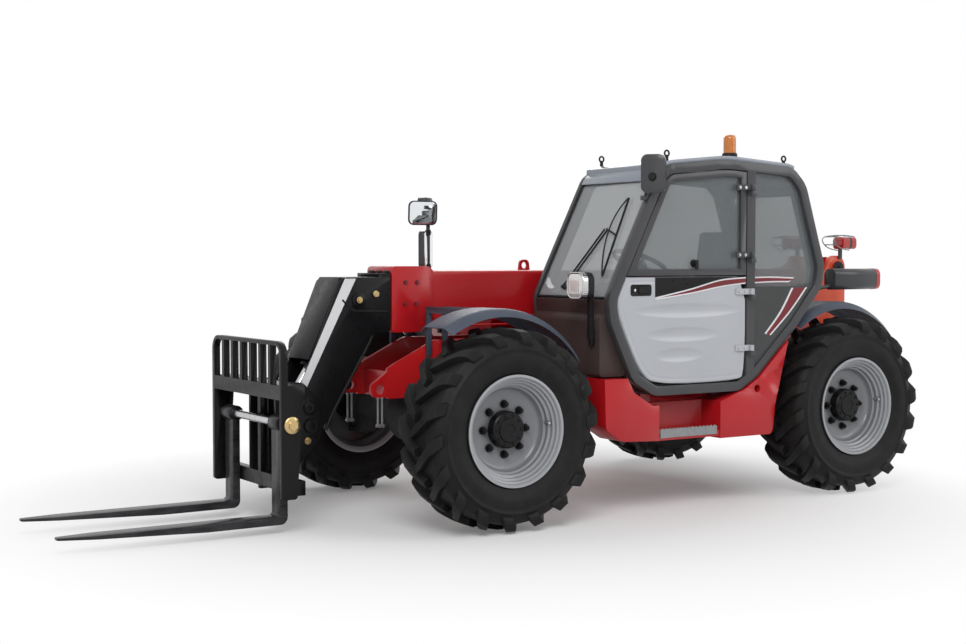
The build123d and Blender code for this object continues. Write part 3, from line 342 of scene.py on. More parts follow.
def add_rod(bm, start, end, radius, segments=24, end_radius=None):
    start, end = Vector(start), Vector(end)
    place = Matrix.Translation((start + end) / 2) @ frame_along(end - start)
    bmesh.ops.create_cone(
        bm,
        cap_ends=True,
        segments=segments,
        radius1=radius,
        radius2=radius if end_radius is None else end_radius,
        depth=(end - start).length,
        matrix=place,
    )


def add_lathe(bm, profile, centre, direction, segments=64, closed=False):
    """Turns points of (radius, distance along) about a line through centre."""
    place = Matrix.Translation(centre) @ frame_along(direction)
    turns = [2 * math.pi * i / segments for i in range(segments)]
    rings = []
    for radius, along in profile:
        spots = [(0, 0, along)]
        if radius >= 1e-6:
            spots = [(radius * math.cos(a), radius * math.sin(a), along) for a in turns]
        rings.append([bm.verts.new(place @ Vector(spot)) for spot in spots])
    pairs = list(zip(rings, rings[1:]))
    if closed:
        pairs.append((rings[-1], rings[0]))
    for first, second in pairs:
        for i in range(segments):
            j = (i + 1) % segments
            corners = [first[i % len(first)], first[j % len(first)]]
            corners += [second[j % len(second)], second[i % len(second)]]
            bm.faces.new(list(dict.fromkeys(corners)))


def add_tube(bm, points, radius, segments=12):
    """A round pipe through points, its bends rounded by the spline."""
    curve = bpy.data.curves.new("path", "CURVE")
    curve.dimensions = "3D"
    spline = curve.splines.new("NURBS")
    spline.points.add(len(points) - 1)
    for target, point in zip(spline.points, points):
        target.co = (*point, 1)
    spline.order_u = 3
    spline.use_endpoint_u = True
    curve.resolution_u = 6
    curve.bevel_depth = radius
    curve.bevel_resolution = max(1, segments // 4 - 1)
    curve.use_fill_caps = True
    holder = bpy.data.objects.new("path", curve)
    mesh = bpy.data.meshes.new_from_object(holder)
    bm.from_mesh(mesh)
    bpy.data.objects.remove(holder)
    bpy.data.curves.remove(curve)
    bpy.data.meshes.remove(mesh)


def side_place(y0, y1):
    """Places an outline drawn in X and Z between two values of Y."""
    return lambda u, v, w: at(u, y1 if w else y0, v)


def rounded(width, height, corner, steps=6):
    """Points round a rectangle with rounded corners."""
    points = []
    for across, up, start in ((1, 1, 0), (-1, 1, 90), (-1, -1, 180), (1, -1, 270)):
        for i in range(steps + 1):
            angle = math.radians(start + 90 * i / steps)
            u = across * (width / 2 - corner) + corner * math.cos(angle)
            v = up * (height / 2 - corner) + corner * math.sin(angle)
            points.append((u, v))
    return points


def facing(place, direction):
    """A place whose own Z looks along a direction and whose own Y is up."""
    out = Vector(direction).normalized()
    across = Vector(UP).cross(out).normalized()
    turn = Matrix((across, out.cross(across), out)).transposed().to_4x4()
    return Matrix.Translation(place) @ turn


def add_rings(bm, rings):
    """Joins rings of points into a closed skin with flat ends."""
    made = [[bm.verts.new(point) for point in ring] for ring in rings]
    for first, second in zip(made, made[1:]):
        for i in range(len(first)):
            j = (i + 1) % len(first)
            bm.faces.new((first[i], first[j], second[j], second[i]))
    bm.faces.new(list(reversed(made[0])))
    bm.faces.new(made[-1])


def add_prism(bm, outline, place):
    """A flat outline given depth: place maps (u, v, 0 or 1) to a point."""
    add_rings(bm, [[place(u, v, w) for u, v in outline] for w in (0, 1)])


def add_case(bm, place, width, height, corner, profile):
    """A rounded rectangle drawn along its place's Z: the profile gives how far in and how far along."""
    rings = []
    for inset, along in profile:
        shape = rounded(width - 2 * inset, height - 2 * inset, max(corner - inset, 0.002))
        rings.append([place @ Vector((u, v, along)) for u, v in shape])
    add_rings(bm, rings)


def through(points, steps=8):
    """A smooth line through points of a plane."""
    ends = [points[0]] + points + [points[-1]]
    line = []
    for a, b, c, d in zip(ends, ends[1:], ends[2:], ends[3:]):
        for i in range(steps):
            t = i / steps
            line.append(
                tuple(
                    b[k] + t * (c[k] - a[k]) / 2
                    + t * t * (a[k] - 2.5 * b[k] + 2 * c[k] - d[k] / 2)
                    + t ** 3 * (1.5 * (b[k] - c[k]) + (d[k] - a[k]) / 2)
                    for k in (0, 1)
                )
            )
    return line + [points[-1]]


def add_ribbon(bm, upper, lower, y0, y1):
    """A thin plate on a side face, between two lines of X and Z."""
    rings = []
    for (ux, uz), (lx, lz) in zip(upper, lower):
        rings.append([at(ux, y0, uz), at(ux, y1, uz), at(lx, y1, lz), at(lx, y0, lz)])
    add_rings(bm, rings)


def add_bolt(bm, place, direction, radius):
    """A hexagon head on its washer."""
    out = Vector(direction).normalized()
    add_rod(bm, place - 0.001 * out, place + 0.25 * radius * out, 1.45 * radius, 20)
    add_rod(bm, place + 0.25 * radius * out, place + 1.0 * radius * out, radius, 6)


def moved(line, across, up):
    return [(x + across, z + up) for x, z in line]


def cap_profile(radius, wall, top_radius, height):
    """A round cap for add_lathe: straight up to wall, then sloping in to its flat top."""
    return [(0, 0), (radius, 0), (radius, wall), (top_radius, height), (0, height)]


def round_section(radius, thick, steps):
    """The round section of a ring for add_lathe; thick is half its thickness."""
    turns = [2 * math.pi * i / steps for i in range(steps)]
    return [(radius + thick * math.cos(a), thick * math.sin(a)) for a in turns]


def round_spots(centre, radius, count):
    """Places evenly round a centre, in the plane of X and Z."""
    turns = [2 * math.pi * i / count for i in range(count)]
    return [centre + radius * Vector((math.cos(a), 0, math.sin(a))) for a in turns]


WHEELS = [(end, hand) for end in ("front", "rear") for hand in ("left", "right")]

# Finishes of the solids that stay as they are: finish, width of the edge rounding and nodes
DRESS = [
    # The tower finish carries painted light towards the tail
    ("tower", 0.004, ["chassis_left_plate", "chassis_right_plate"]),
    ("red", 0.004, ["chassis_cross"]),
    ("red", 0.006, ["boom_outer"]),
    ("red", 0.01, ["engine_pod", "engine_hood"]),
    ("red", 0.012, ["side_skirt"]),
    ("black", 0.004, ["lift_barrel", "tilt_barrel", "fork_carriage"]),
    ("black", 0.005, ["boom_inner"]),
    ("black", 0.012, ["counterweight"]),
    ("iron", 0.008, [f"knuckle_{end}_{hand}" for end, hand in WHEELS]),
    ("iron", 0.01, ["engine_block"]),
    ("iron", 0.012, ["front_axle", "rear_axle"]),
    ("slate", 0.003, ["front_fenders", "rear_fenders"]),
    ("frame", 0.004, ["cab_floor"]),
    ("frame", 0.006, ["cab_right_wall", "cab_rear_wall", "door_upper", "mirrors"]),
    ("frame", 0.012, ["rear_lamps"]),
    ("frame", 0.014, ["cab_left_frame"]),
    ("roof", 0.012, ["cab_roof"]),
    # The panel finish carries a painted red reflection
    ("panel", 0.008, ["cab_front_panel"]),
    ("trim", 0.006, ["headlamps"]),
    ("steel", 0.003, ["lift_rod", "tilt_rod"]),
    ("worn", 0.004, ["fork_left", "fork_right"]),
    ("screen", 0.0, ["windshield"]),
    ("glass", 0.0, ["cab_glass", "door_glass"]),
]
WELD_GAP = 0.00005
ROUNDED_ANGLE = 30
FLAT_ANGLE = 12


def dress(node, finish, edge):
    obj = NODES[node]
    smooth(obj.data, ROUNDED_ANGLE if edge else FLAT_ANGLE)
    obj.data.materials.clear()
    obj.data.materials.append(MATERIALS[finish])
    if edge:
        weld = obj.modifiers.new("weld", "WELD")
        weld.merge_threshold = WELD_GAP
        bevel(obj, edge)


for finish, edge, names in DRESS:
    for node in names:
        dress(node, finish, edge)


# Wheels
LUGS = 18
# Half of the casing's section: radius and distance from the wheel's middle
CARCASS = [
    (0.3065, 0.166), (0.322, 0.172), (0.338, 0.176), (0.352, 0.186), (0.366, 0.189), (0.37, 0.194),
    (0.384, 0.195), (0.388, 0.199), (0.42, 0.203), (0.455, 0.2035), (0.474, 0.202), (0.477, 0.205),
    (0.486, 0.205), (0.489, 0.2), (0.528, 0.19), (0.548, 0.17), (0.558, 0.13), (0.562, 0.06),
    (0.563, 0),
]
# Along one lug: how far out, its top and foot radius, the foot's own distance out, its lean and half width
LUG_RUN = [
    (-0.016, 0.605, 0.556, -0.016, 0.0, 0.022),
    (0.05, 0.605, 0.556, 0.05, 0.07, 0.026),
    (0.11, 0.603, 0.552, 0.11, 0.15, 0.03),
    (0.16, 0.597, 0.545, 0.158, 0.215, 0.034),
    (0.196, 0.582, 0.535, 0.172, 0.245, 0.037),
    (0.2045, 0.56, 0.525, 0.182, 0.256, 0.037),
    (0.2045, 0.524, 0.508, 0.19, 0.262, 0.034),
    (0.2, 0.51, 0.5, 0.192, 0.264, 0.032),
]
LUG_SPREAD = 0.01


def wheel_place(centre, outward, angle):
    """Maps (radius, distance out, distance round) about a hub."""
    def place(radius, out, around):
        turn = angle + around / radius
        return centre + Vector((radius * math.cos(turn), outward * out, radius * math.sin(turn)))
    return place


def add_lug(bm, centre, outward, angle, flank):
    place = wheel_place(centre, outward, angle)
    rings = []
    for out, top, foot, foot_out, lean, half in LUG_RUN:
        slide = lean * TYRE_RADIUS
        wide = half + LUG_SPREAD
        rings.append(
            [
                place(foot, flank * foot_out, slide - wide),
                place(top, flank * out, slide - half),
                place(top, flank * out, slide + half),
                place(foot, flank * foot_out, slide + wide),
            ]
        )
    add_rings(bm, rings)


def tyre(end, hand):
    name = f"tyre_{end}_{hand}"
    body = f"wheel_{end}_{hand}"
    centre = middle(name)
    outward = 1 if hand == "left" else -1
    bm = bmesh.new()
    profile = CARCASS + [(r, -w) for r, w in reversed(CARCASS[:-1])]
    add_lathe(bm, profile, centre, (0, outward, 0), 96, closed=True)
    piece(name + "_casing", bm, "rubber", body, angle=50, replaces=[name])
    bm = bmesh.new()
    for i in range(LUGS):
        for flank, offset in ((1, 0), (-1, 0.5)):
            add_lug(bm, centre, outward, 2 * math.pi * (i + offset) / LUGS, flank)
    piece(name + "_lugs", bm, "rubber", body, edge=0.004)


# Sections of rim and hub: radius and distance out from the wheel's middle
RIM_FACE = [
    (0.318, 0.19), (0.333, 0.19), (0.333, 0.178), (0.322, 0.174), (0.306, 0.171), (0.306, 0.06),
    (0.28, 0.04), (0.28, -0.06), (0.306, -0.09), (0.306, -0.171), (0.333, -0.178), (0.333, -0.19),
    (0.318, -0.19), (0.297, -0.178), (0.297, -0.1), (0.271, -0.07), (0.271, 0.01), (0.24, 0.028),
    (0.108, 0.028), (0.108, 0.044), (0.205, 0.046), (0.222, 0.046), (0.236, 0.052), (0.247, 0.066),
    (0.252, 0.092), (0.264, 0.1), (0.266, 0.122), (0.281, 0.129), (0.284, 0.146), (0.297, 0.152),
    (0.3, 0.168), (0.312, 0.174), (0.315, 0.186),
]
HUB_FACE = [
    (0.056, -0.045), (0.112, -0.045), (0.112, 0.08), (0.11, 0.098), (0.102, 0.106), (0.074, 0.108),
    (0.07, 0.116), (0.036, 0.117), (0.033, 0.112), (0, 0.112),
]
DISC_FACE = 0.046
WHEEL_NUTS = 8
NUT_CIRCLE = 0.15
# Washer, nut and stud, out from the disc: start, end, radius and number of sides
WHEEL_NUT = [(-0.002, 0.007, 0.024, 20), (0.007, 0.03, 0.018, 6), (0.03, 0.04, 0.011, 12)]
HUB_BOLTS = 10
HUB_BOLT_CIRCLE = 0.088
HUB_BOLT = (0.105, 0.113, 0.009, 6)
VALVE = Vector((-0.262, 0, 0.03))
VALVE_FOOT = 0.098


def rim(end, hand):
    name = f"rim_{end}_{hand}"
    body = f"wheel_{end}_{hand}"
    centre = middle(name)
    out = Vector((0, 1 if hand == "left" else -1, 0))
    bm = bmesh.new()
    add_lathe(bm, RIM_FACE, centre, out, 96, closed=True)
    # The dish's finish darkens its hollows with painted shade
    piece(name + "_dish", bm, "rim", body, angle=40, replaces=[name])
    bm = bmesh.new()
    add_lathe(bm, HUB_FACE, centre, out, 64)
    for spot in round_spots(centre, NUT_CIRCLE, WHEEL_NUTS):
        for start, end_out, radius, sides in WHEEL_NUT:
            add_rod(bm, spot + (DISC_FACE + start) * out, spot + (DISC_FACE + end_out) * out, radius, sides)
    for spot in round_spots(centre, HUB_BOLT_CIRCLE, HUB_BOLTS):
        start, end_out, radius, sides = HUB_BOLT
        add_rod(bm, spot + start * out, spot + end_out * out, radius, sides)
    piece(name + "_hub", bm, "black", body, edge=0.0015)
    bm = bmesh.new()
    foot = centre + VALVE + VALVE_FOOT * out
    add_rod(bm, foot, foot + 0.03 * out, 0.01, 16, 0.007)
    add_rod(bm, foot + 0.028 * out, foot + 0.046 * out, 0.008, 16)
    piece(name + "_valve", bm, "steel", body)


for entry in WHEELS:
    tyre(*entry)
    rim(*entry)


# Doors
CAB_FACE = 1.055
SILL = 1.5
HINGE = -0.505
LOWER_HINGES = (1.01, 1.38)
UPPER_HINGES = (1.62, 2.06)
FILM = 0.0012
SWOOSH_LOW = through([(0.297, 1.356), (0.011, 1.39), (-0.241, 1.43), (-0.462, 1.452)])
SWOOSH_TOP = through([(0.297, 1.372), (0.011, 1.424), (-0.241, 1.48), (-0.462, 1.496)])
WHITE_LINE = 0.009
HANDLE_TRAY = [(0, 0), (0, 0.004), (0.003, 0.006), (0.01, 0.003)]
LOW_CASE = [(0, 0), (0, 0.008), (0.004, 0.012)]
LATCH_KNOB = [(0, 0), (0.026, 0), (0.026, 0.008), (0.015, 0.012), (0.015, 0.03), (0, 0.03)]


def swoosh(name, body, low, top, face, inset):
    """A white band with a dark red one on it; inset is from the white edge to the red one, in X and Z."""
    bm = bmesh.new()
    add_ribbon(bm, top, low, face, face + FILM)
    piece(name + "_white", bm, "white", body)
    bm = bmesh.new()
    add_ribbon(bm, moved(top, -inset[0], -inset[1]), moved(low, *inset), face + FILM, face + 2 * FILM)
    piece(name + "_red", bm, "wine", body)


def door_panel():
    bm = bmesh.new()
    sill_line = [(x, SILL - 0.002) for x, _ in SWOOSH_LOW]
    add_ribbon(bm, sill_line, SWOOSH_LOW, CAB_FACE, CAB_FACE + FILM)
    piece("door_dark_band", bm, "black", "lower_door")
    swoosh("door_swoosh", "lower_door", SWOOSH_LOW, SWOOSH_TOP, CAB_FACE + FILM, (0, WHITE_LINE))
    place = at(HINGE + 0.914, CAB_FACE - 0.002, SILL - 0.082)
    bm = bmesh.new()
    add_case(bm, facing(place, LEFT), 0.165, 0.072, 0.016, HANDLE_TRAY)
    lever = facing(place + Vector((-0.02, 0, 0)), LEFT)
    add_case(bm, lever, 0.084, 0.044, 0.008, LOW_CASE)
    piece("door_handle", bm, "trim", "lower_door")
    bm = bmesh.new()
    key = cap_profile(0.009, 0.009, 0.006, 0.011)
    add_lathe(bm, key, place + Vector((0.052, 0, 0)), LEFT, 24)
    piece("door_lock", bm, "steel", "lower_door")


DOOR_LINE = [
    (-0.467, 1.64), (-0.467, 0.856), (-0.398, 0.818), (0.277, 0.818), (0.413, 0.896), (0.577, 1.239),
    (0.592, 1.36), (0.524, 1.5), (0.455, 1.64),
]
DOOR_BACK = 1.005
DOOR_EDGE = 0.009
# Each dent's middle from the hinge line and down from the sill, and its half length
DENTS = [(0.52, 0.214, 0.44), (0.567, 0.366, 0.3), (0.602, 0.497, 0.195)]
DENT_HALF = 0.045
DENT_DEEP = 0.01
GROOVE_INSET = 0.03
GROOVE_HALF = 0.008
GROOVE_DEEP = 0.0022
SKIN_ROWS = 110
SKIN_COLUMNS = 130


def corner_cut(line):
    """Rounds the corners of a closed outline, one step."""
    cut = []
    for a, b in zip(line, line[1:] + line[:1]):
        for part in (0.25, 0.75):
            cut.append(tuple((1 - part) * a[k] + part * b[k] for k in (0, 1)))
    return cut


def reach(line, z):
    """The lowest and highest X of an outline at a height."""
    hits = []
    for (ax, az), (bx, bz) in zip(line, line[1:] + line[:1]):
        if min(az, bz) <= z <= max(az, bz) and az != bz:
            hits.append(ax + (bx - ax) * (z - az) / (bz - az))
    return min(hits), max(hits)


def nearness(line, x, z):
    """Distance from a point to the nearest side of an outline."""
    best = SILL - z
    point = Vector((x, z))
    for a, b in zip(line, line[1:] + line[:1]):
        start, run = Vector(a), Vector(b) - Vector(a)
        part = min(1.0, max(0.0, (point - start).dot(run) / run.length_squared))
        best = min(best, (point - start - part * run).length)
    return best


def door_depth(line, x, z):
    """How far the door's skin lies behind its face: dents, a groove along the border and a rounded edge."""
    depth = 0.0
    for middle_x, down, half in DENTS:
        round_part = ((x - HINGE - middle_x) / half) ** 2 + ((z - SILL + down) / DENT_HALF) ** 2
        depth += DENT_DEEP * max(0.0, 1 - round_part)
    border = nearness(line, x, z)
    depth += GROOVE_DEEP * max(0.0, 1 - ((border - GROOVE_INSET) / GROOVE_HALF) ** 2)
    short = max(0.0, DOOR_EDGE - border)
    return depth + DOOR_EDGE - math.sqrt(DOOR_EDGE ** 2 - short ** 2)


def door_skin():
    """The lower door leaf as one closed skin, its face pressed with three dents."""
    line = corner_cut(corner_cut(DOOR_LINE))
    foot = min(z for _, z in line) + 0.0005
    grid = []
    bm = bmesh.new()
    for row in range(SKIN_ROWS + 1):
        z = foot + (SILL - foot) * row / SKIN_ROWS
        low, high = reach(line, z)
        points = [low + (high - low) * i / SKIN_COLUMNS for i in range(SKIN_COLUMNS + 1)]
        grid.append([bm.verts.new(at(x, CAB_FACE - door_depth(line, x, z), z)) for x in points])
    for under, over in zip(grid, grid[1:]):
        for i in range(SKIN_COLUMNS):
            bm.faces.new((under[i], under[i + 1], over[i + 1], over[i]))
    rim_loop = grid[0] + [row[-1] for row in grid[1:]] + grid[-1][-2::-1] + [row[0] for row in grid[-2:0:-1]]
    back = [bm.verts.new((vert.co.x, DOOR_BACK, vert.co.z)) for vert in rim_loop]
    for i in range(len(rim_loop)):
        j = (i + 1) % len(rim_loop)
        bm.faces.new((rim_loop[i], rim_loop[j], back[j], back[i]))
    bm.faces.new(back)
    piece("door_skin", bm, "silver", "lower_door", angle=40, replaces=["door_lower"])
    bm = bmesh.new()
    for z in LOWER_HINGES:
        low, high = z + 0.001, z + 0.04
        add_rod(bm, at(HINGE, CAB_FACE + 0.02, low), at(HINGE, CAB_FACE + 0.02, high), 0.015, 32)
        add_block(bm, at(HINGE + 0.005, CAB_FACE, low), at(HINGE + 0.13, CAB_FACE + 0.012, high))
    piece("door_hinge_leaves", bm, "silver", "lower_door", edge=0.002, replaces=["door_lower"])


def hinge_bolts():
    for body, heights in (("lower_door", LOWER_HINGES), ("upper_door", UPPER_HINGES)):
        bm = bmesh.new()
        for z in heights:
            for x in (0.055, 0.105):
                add_bolt(bm, at(HINGE + x, CAB_FACE + 0.012, z + 0.02), LEFT, 0.007)
        piece(body + "_hinge_bolts", bm, "steel", body)


def window_latch():
    place = at(-0.033, CAB_FACE - 0.022, 1.585)
    bm = bmesh.new()
    add_lathe(bm, LATCH_KNOB, place, LEFT, 32)
    add_case(bm, facing(place + Vector((0.0, 0.03, -0.008)), LEFT), 0.026, 0.06, 0.01, LOW_CASE)
    piece("window_latch", bm, "trim", "upper_door")


QUARTER_FACE = 1.04
PANE_FACE = 1.023


def quarter():
    """The dark lower corner behind the door with its stripes."""
    outline = [(-0.556, 1.432), (-1.075, 1.432), (-1.055, 1.405), (-0.862, 1.19), (-0.556, 0.935)]
    bm = bmesh.new()
    add_prism(bm, outline, side_place(QUARTER_FACE, QUARTER_FACE + 0.003))
    piece("quarter_dark_pane", bm, "gloss", edge=0.001)
    low = through([(-0.549, 1.452), (-0.72, 1.458), (-0.88, 1.458)])
    top = through([(-0.549, 1.495), (-0.72, 1.497), (-0.93, 1.49)])
    swoosh("quarter_swoosh", "machine", low, top, PANE_FACE, (0, WHITE_LINE))
    low = through([(-0.885, 1.42), (-0.78, 1.262), (-0.645, 1.12)])
    top = through([(-1.03, 1.422), (-0.88, 1.262), (-0.7, 1.106)])
    swoosh("quarter_tail", "machine", low, top, QUARTER_FACE + 0.003, (-0.018, 0))


# Glazing seals, wiper and roof fittings
SHIELD_FOOT = (0.642, 1.372)
SHIELD_KNEE = (0.571, 1.512)
SHIELD_TOP = (0.262, 2.12)
SHIELD_OUT = Vector((0.892, 0, 0.453))
CAB_SIDES = (0.262, 0.996)


def shield_seals():
    bm = bmesh.new()
    for y in CAB_SIDES:
        path = [at(x, y, z) for x, z in (SHIELD_FOOT, SHIELD_KNEE, SHIELD_TOP)]
        add_tube(bm, path, 0.009, 8)
    for x, z in (SHIELD_FOOT, SHIELD_TOP):
        add_tube(bm, [at(x, CAB_SIDES[0], z), at(x, CAB_SIDES[1], z)], 0.009, 8)
    piece("windshield_seal", bm, "trim")


def wiper():
    off = 0.016 * SHIELD_OUT
    elbow = at(0.424, 0.74, 1.8) + off
    bm = bmesh.new()
    for dy in (0, 0.035):
        pivot = at(0.612, 0.52 + dy, 1.43) + off
        add_rod(bm, pivot, elbow + Vector((0, dy - 0.02, 0)), 0.006, 10)
        add_rod(bm, pivot - 1.3 * off, pivot + 0.4 * off, 0.013, 16)
    foot, tip = at(0.577, 0.895, 1.499), at(0.325, 0.841, 1.995)
    add_rod(bm, foot + off, tip + off, 0.007, 8)
    low, bend, high = foot + 1.2 * off, elbow + 0.8 * off, tip + 1.2 * off
    spine = [low, low.lerp(bend, 0.5) + off, bend.lerp(high, 0.5) + off, high]
    add_tube(bm, spine, 0.005, 8)
    add_rod(bm, elbow, at(0.447, 0.868, 1.755) + 1.4 * off, 0.006, 10)
    piece("wiper", bm, "trim")


def roof_eyes():
    ring = round_section(0.018, 0.006, 8)
    bm = bmesh.new()
    for x in (0.15, -0.86):
        for y in (0.3, 0.985):
            foot = at(x, y, 2.2)
            add_rod(bm, foot, foot + Vector((0, 0, 0.075)), 0.011, 12)
            add_lathe(bm, ring, foot + Vector((0, 0, 0.085)), LEFT, 20, closed=True)
    piece("roof_eyes", bm, "trim")


def beacon():
    low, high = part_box("beacon")
    centre = Vector(((low.x + high.x) / 2, (low.y + high.y) / 2, low.z))
    tall = high.z - low.z
    base = tall - 0.125
    bm = bmesh.new()
    add_lathe(bm, cap_profile(0.05, base - 0.004, 0.046, base + 0.004), centre, UP, 48)
    piece("beacon_base", bm, "trim", replaces=["beacon"])
    wall = [(0.041 + 0.001 * (i % 2), base + 0.006 + 0.0045 * i) for i in range(22)]
    dome = [(0.039, tall - 0.016), (0.034, tall - 0.006), (0.022, tall - 0.001), (0.0, tall)]
    bm = bmesh.new()
    add_lathe(bm, [(0.0, base + 0.004), (0.041, base + 0.004)] + wall + dome, centre, UP, 48)
    piece("beacon_lens", bm, "amber", angle=60, replaces=["beacon"])


# Lamps and mirrors
LAMP_LENS = [(0.01, 0), (0.012, 0.005), (0.03, 0.011), (0.055, 0.014)]
TAIL_LENS = [(0, -0.03), (0, 0.004), (0.008, 0.012), (0.024, 0.016)]
MIRROR_PANE = [(0, -0.004), (0, 0.002), (0.002, 0.003)]
WIDE_PANE = [(0, -0.004), (0, 0.003), (0.03, 0.008), (0.06, 0.01)]
WIDE_SHELL = [(0.03, -0.034), (0.006, -0.022), (0, -0.008), (0, 0), (0.006, 0.002)]
BALL = [(0, -0.03), (0.02, -0.03), (0.026, -0.015), (0.026, 0.015), (0.02, 0.03), (0, 0.03)]
LAMP_BEZEL = [(0, -0.03), (0, 0.004), (0.004, 0.008), (0.01, 0.006), (0.011, 0)]


def headlamps():
    for hand, place in (("left", at(0.828, 0.94, 1.45)), ("right", at(0.838, -0.88, 1.34))):
        spot = facing(place, FORWARD)
        bm = bmesh.new()
        add_case(bm, spot, 0.176, 0.166, 0.056, LAMP_BEZEL)
        piece(f"headlamp_bezel_{hand}", bm, "steel")
        bm = bmesh.new()
        add_case(bm, spot, 0.176, 0.166, 0.056, LAMP_LENS)
        for i in range(7):
            rib = 0.018 * (i - 3)
            add_rod(bm, spot @ Vector((rib, -0.05, 0.012)), spot @ Vector((rib, 0.05, 0.012)), 0.003, 8)
        piece(f"headlamp_lens_{hand}", bm, "lamp")


def mirror_glass():
    tube_x, tube_y = 0.92, -0.7
    bm = bmesh.new()
    spot = facing(at(tube_x, tube_y, 1.68), (-0.6, 0.8, 0))
    add_case(bm, spot, 0.144, 0.244, 0.024, MIRROR_PANE)
    wide = facing(at(tube_x + 0.07, tube_y + 0.05, 1.935), (0.1, 1.0, -0.06))
    add_case(bm, wide, 0.204, 0.154, 0.034, WIDE_PANE)
    spot = facing(at(0.32, 1.072, 2.145), (-0.78, -0.62, 0))
    add_case(bm, spot, 0.134, 0.224, 0.032, MIRROR_PANE)
    piece("mirror_glass", bm, "mirror")
    bm = bmesh.new()
    add_case(bm, wide, 0.22, 0.17, 0.04, WIDE_SHELL)
    add_rod(bm, at(tube_x, tube_y, 1.935), at(tube_x + 0.07, tube_y + 0.03, 1.935), 0.012, 14)
    add_lathe(bm, BALL, at(0.352, 1.095, 2.125), (0.78, 0.62, 0), 24)
    for z in (1.56, 1.8, 1.93):
        add_rod(bm, at(tube_x, tube_y, z - 0.018), at(tube_x, tube_y, z + 0.018), 0.02, 20)
    piece("mirror_clamps", bm, "trim")


def tail_lamps():
    bm = bmesh.new()
    for hand in (1, -1):
        spot = facing(at(-2.003, hand * 0.74, 1.47), BACKWARD)
        add_case(bm, spot, 0.112, 0.152, 0.046, TAIL_LENS)
        spot = facing(at(-2.248, hand * 0.275, 1.735), BACKWARD)
        add_case(bm, spot, 0.112, 0.092, 0.03, [(0, -0.04), (0, 0.004), (0.01, 0.01)])
        spot = facing(at(-2.122, hand * 0.275, 1.735), FORWARD)
        add_case(bm, spot, 0.112, 0.092, 0.03, [(0, -0.06), (0, 0.006), (0.016, 0.016)])
    piece("tail_lenses", bm, "red_lens")
    bm = bmesh.new()
    for hand in (1, -1):
        for y in (0.215, 0.335):
            path = [(-2.17, 1.68), (-2.06, 1.69), (-1.99, 1.765), (-2.07, 1.795), (-2.17, 1.79)]
            add_tube(bm, [at(x, hand * y, z) for x, z in path], 0.004, 8)
        for x, z in ((-2.035, 1.722), (-2.035, 1.782), (-2.12, 1.793)):
            add_rod(bm, at(x, hand * 0.215, z), at(x, hand * 0.335, z), 0.004, 8)
        hook = [(-2.17, 1.79), (-2.27, 1.79), (-2.3, 1.775), (-2.22, 1.69)]
        add_tube(bm, [at(x, hand * 0.275, z) for x, z in hook], 0.005, 8)
    piece("lamp_guards", bm, "grip")


def indicators():
    bm = bmesh.new()
    for hand in (1, -1):
        spot = facing(at(-0.972, hand * 0.9, 1.205), FORWARD)
        add_case(bm, spot, 0.09, 0.075, 0.018, [(0, -0.04), (0, 0.012), (0.01, 0.02)])
    piece("indicators", bm, "amber")


# Boom, head and carriage
BOOM_FACE = 0.164
HEAD_FACE = 0.165
ADJUSTER = [(0, 0), (0, 0.014), (0.004, 0.018)]
PIPE_CLAMP = [(0, 0), (0, 0.036), (0.002, 0.041)]
BOOM_PIPE = [(1.45, 1.15), (1.44, 1.184), (1.36, 1.184), (-0.8, 1.184)]
HEAD_PIPE = [(2.04, 1.362), (1.985, 1.305), (1.96, 1.292), (1.93, 1.288), (1.72, 1.284)]
HEAD_HOSE = [
    (1.822, 1.14), (1.85, 1.08), (1.912, 0.985), (2.04, 0.772), (2.125, 0.632), (2.15, 0.56),
]
FORK_SHAFT = (2.5525, 0.65)
SHAFT_HALF = 0.52
BOSS = [
    (0.014, -0.004), (0.014, 0.006), (0.03, 0.006), (0.034, 0.002), (0.034, -0.01), (0.014, -0.01),
]


def boom_fittings():
    bm = bmesh.new()
    for hand in (1, -1):
        for x, z in ((1.592, 1.465), (1.508, 1.465), (1.598, 1.329), (1.516, 1.329)):
            add_bolt(bm, at(x, hand * BOOM_FACE, z), (0, hand, 0), 0.011)
    piece("boom_collar_bolts", bm, "wine", "boom")
    bm = bmesh.new()
    for y in (-0.1, 0.0, 0.1):
        add_case(bm, facing(at(1.686, y, 1.524), FORWARD), 0.06, 0.034, 0.008, ADJUSTER)
        add_bolt(bm, at(1.704, y, 1.524), FORWARD, 0.008)
    piece("boom_pad_adjusters", bm, "trim", "boom")
    bm = bmesh.new()
    for y in (0.118, 0.14):
        add_tube(bm, [at(x, y, z) for x, z in BOOM_PIPE], 0.007, 10)
    for x in (1.355, 0.9, 0.45, 0.0, -0.45):
        add_case(bm, facing(at(x, 0.129, 1.17), UP), 0.052, 0.036, 0.008, PIPE_CLAMP)
    piece("boom_pipes", bm, "red", "boom")


def head_fittings():
    bm = bmesh.new()
    outline = [(1.945, 1.492), (2.022, 1.492), (2.322, 0.862), (2.288, 0.826)]
    for hand in (1, -1):
        add_prism(bm, outline, side_place(hand * HEAD_FACE, hand * (HEAD_FACE + FILM)))
    piece("head_stripes", bm, "white", "boom_extension")
    bm = bmesh.new()
    for hand in (1, -1):
        pin = cap_profile(0.022, 0.008, 0.017, 0.014)
        add_lathe(bm, pin, at(1.805, hand * HEAD_FACE, 1.395), (0, hand, 0), 32)
        add_bolt(bm, at(1.93, hand * 0.185, 1.36), (0, hand, 0), 0.014)
    piece("head_pins", bm, "zinc", "boom_extension")
    bm = bmesh.new()
    for hand in (1, -1):
        add_tube(bm, [at(x, hand * 0.164, z) for x, z in HEAD_PIPE], 0.007, 8)
        add_tube(bm, [at(x, hand * 0.148, z) for x, z in HEAD_HOSE], 0.013, 12)
    piece("head_hoses", bm, "trim", "boom_extension")


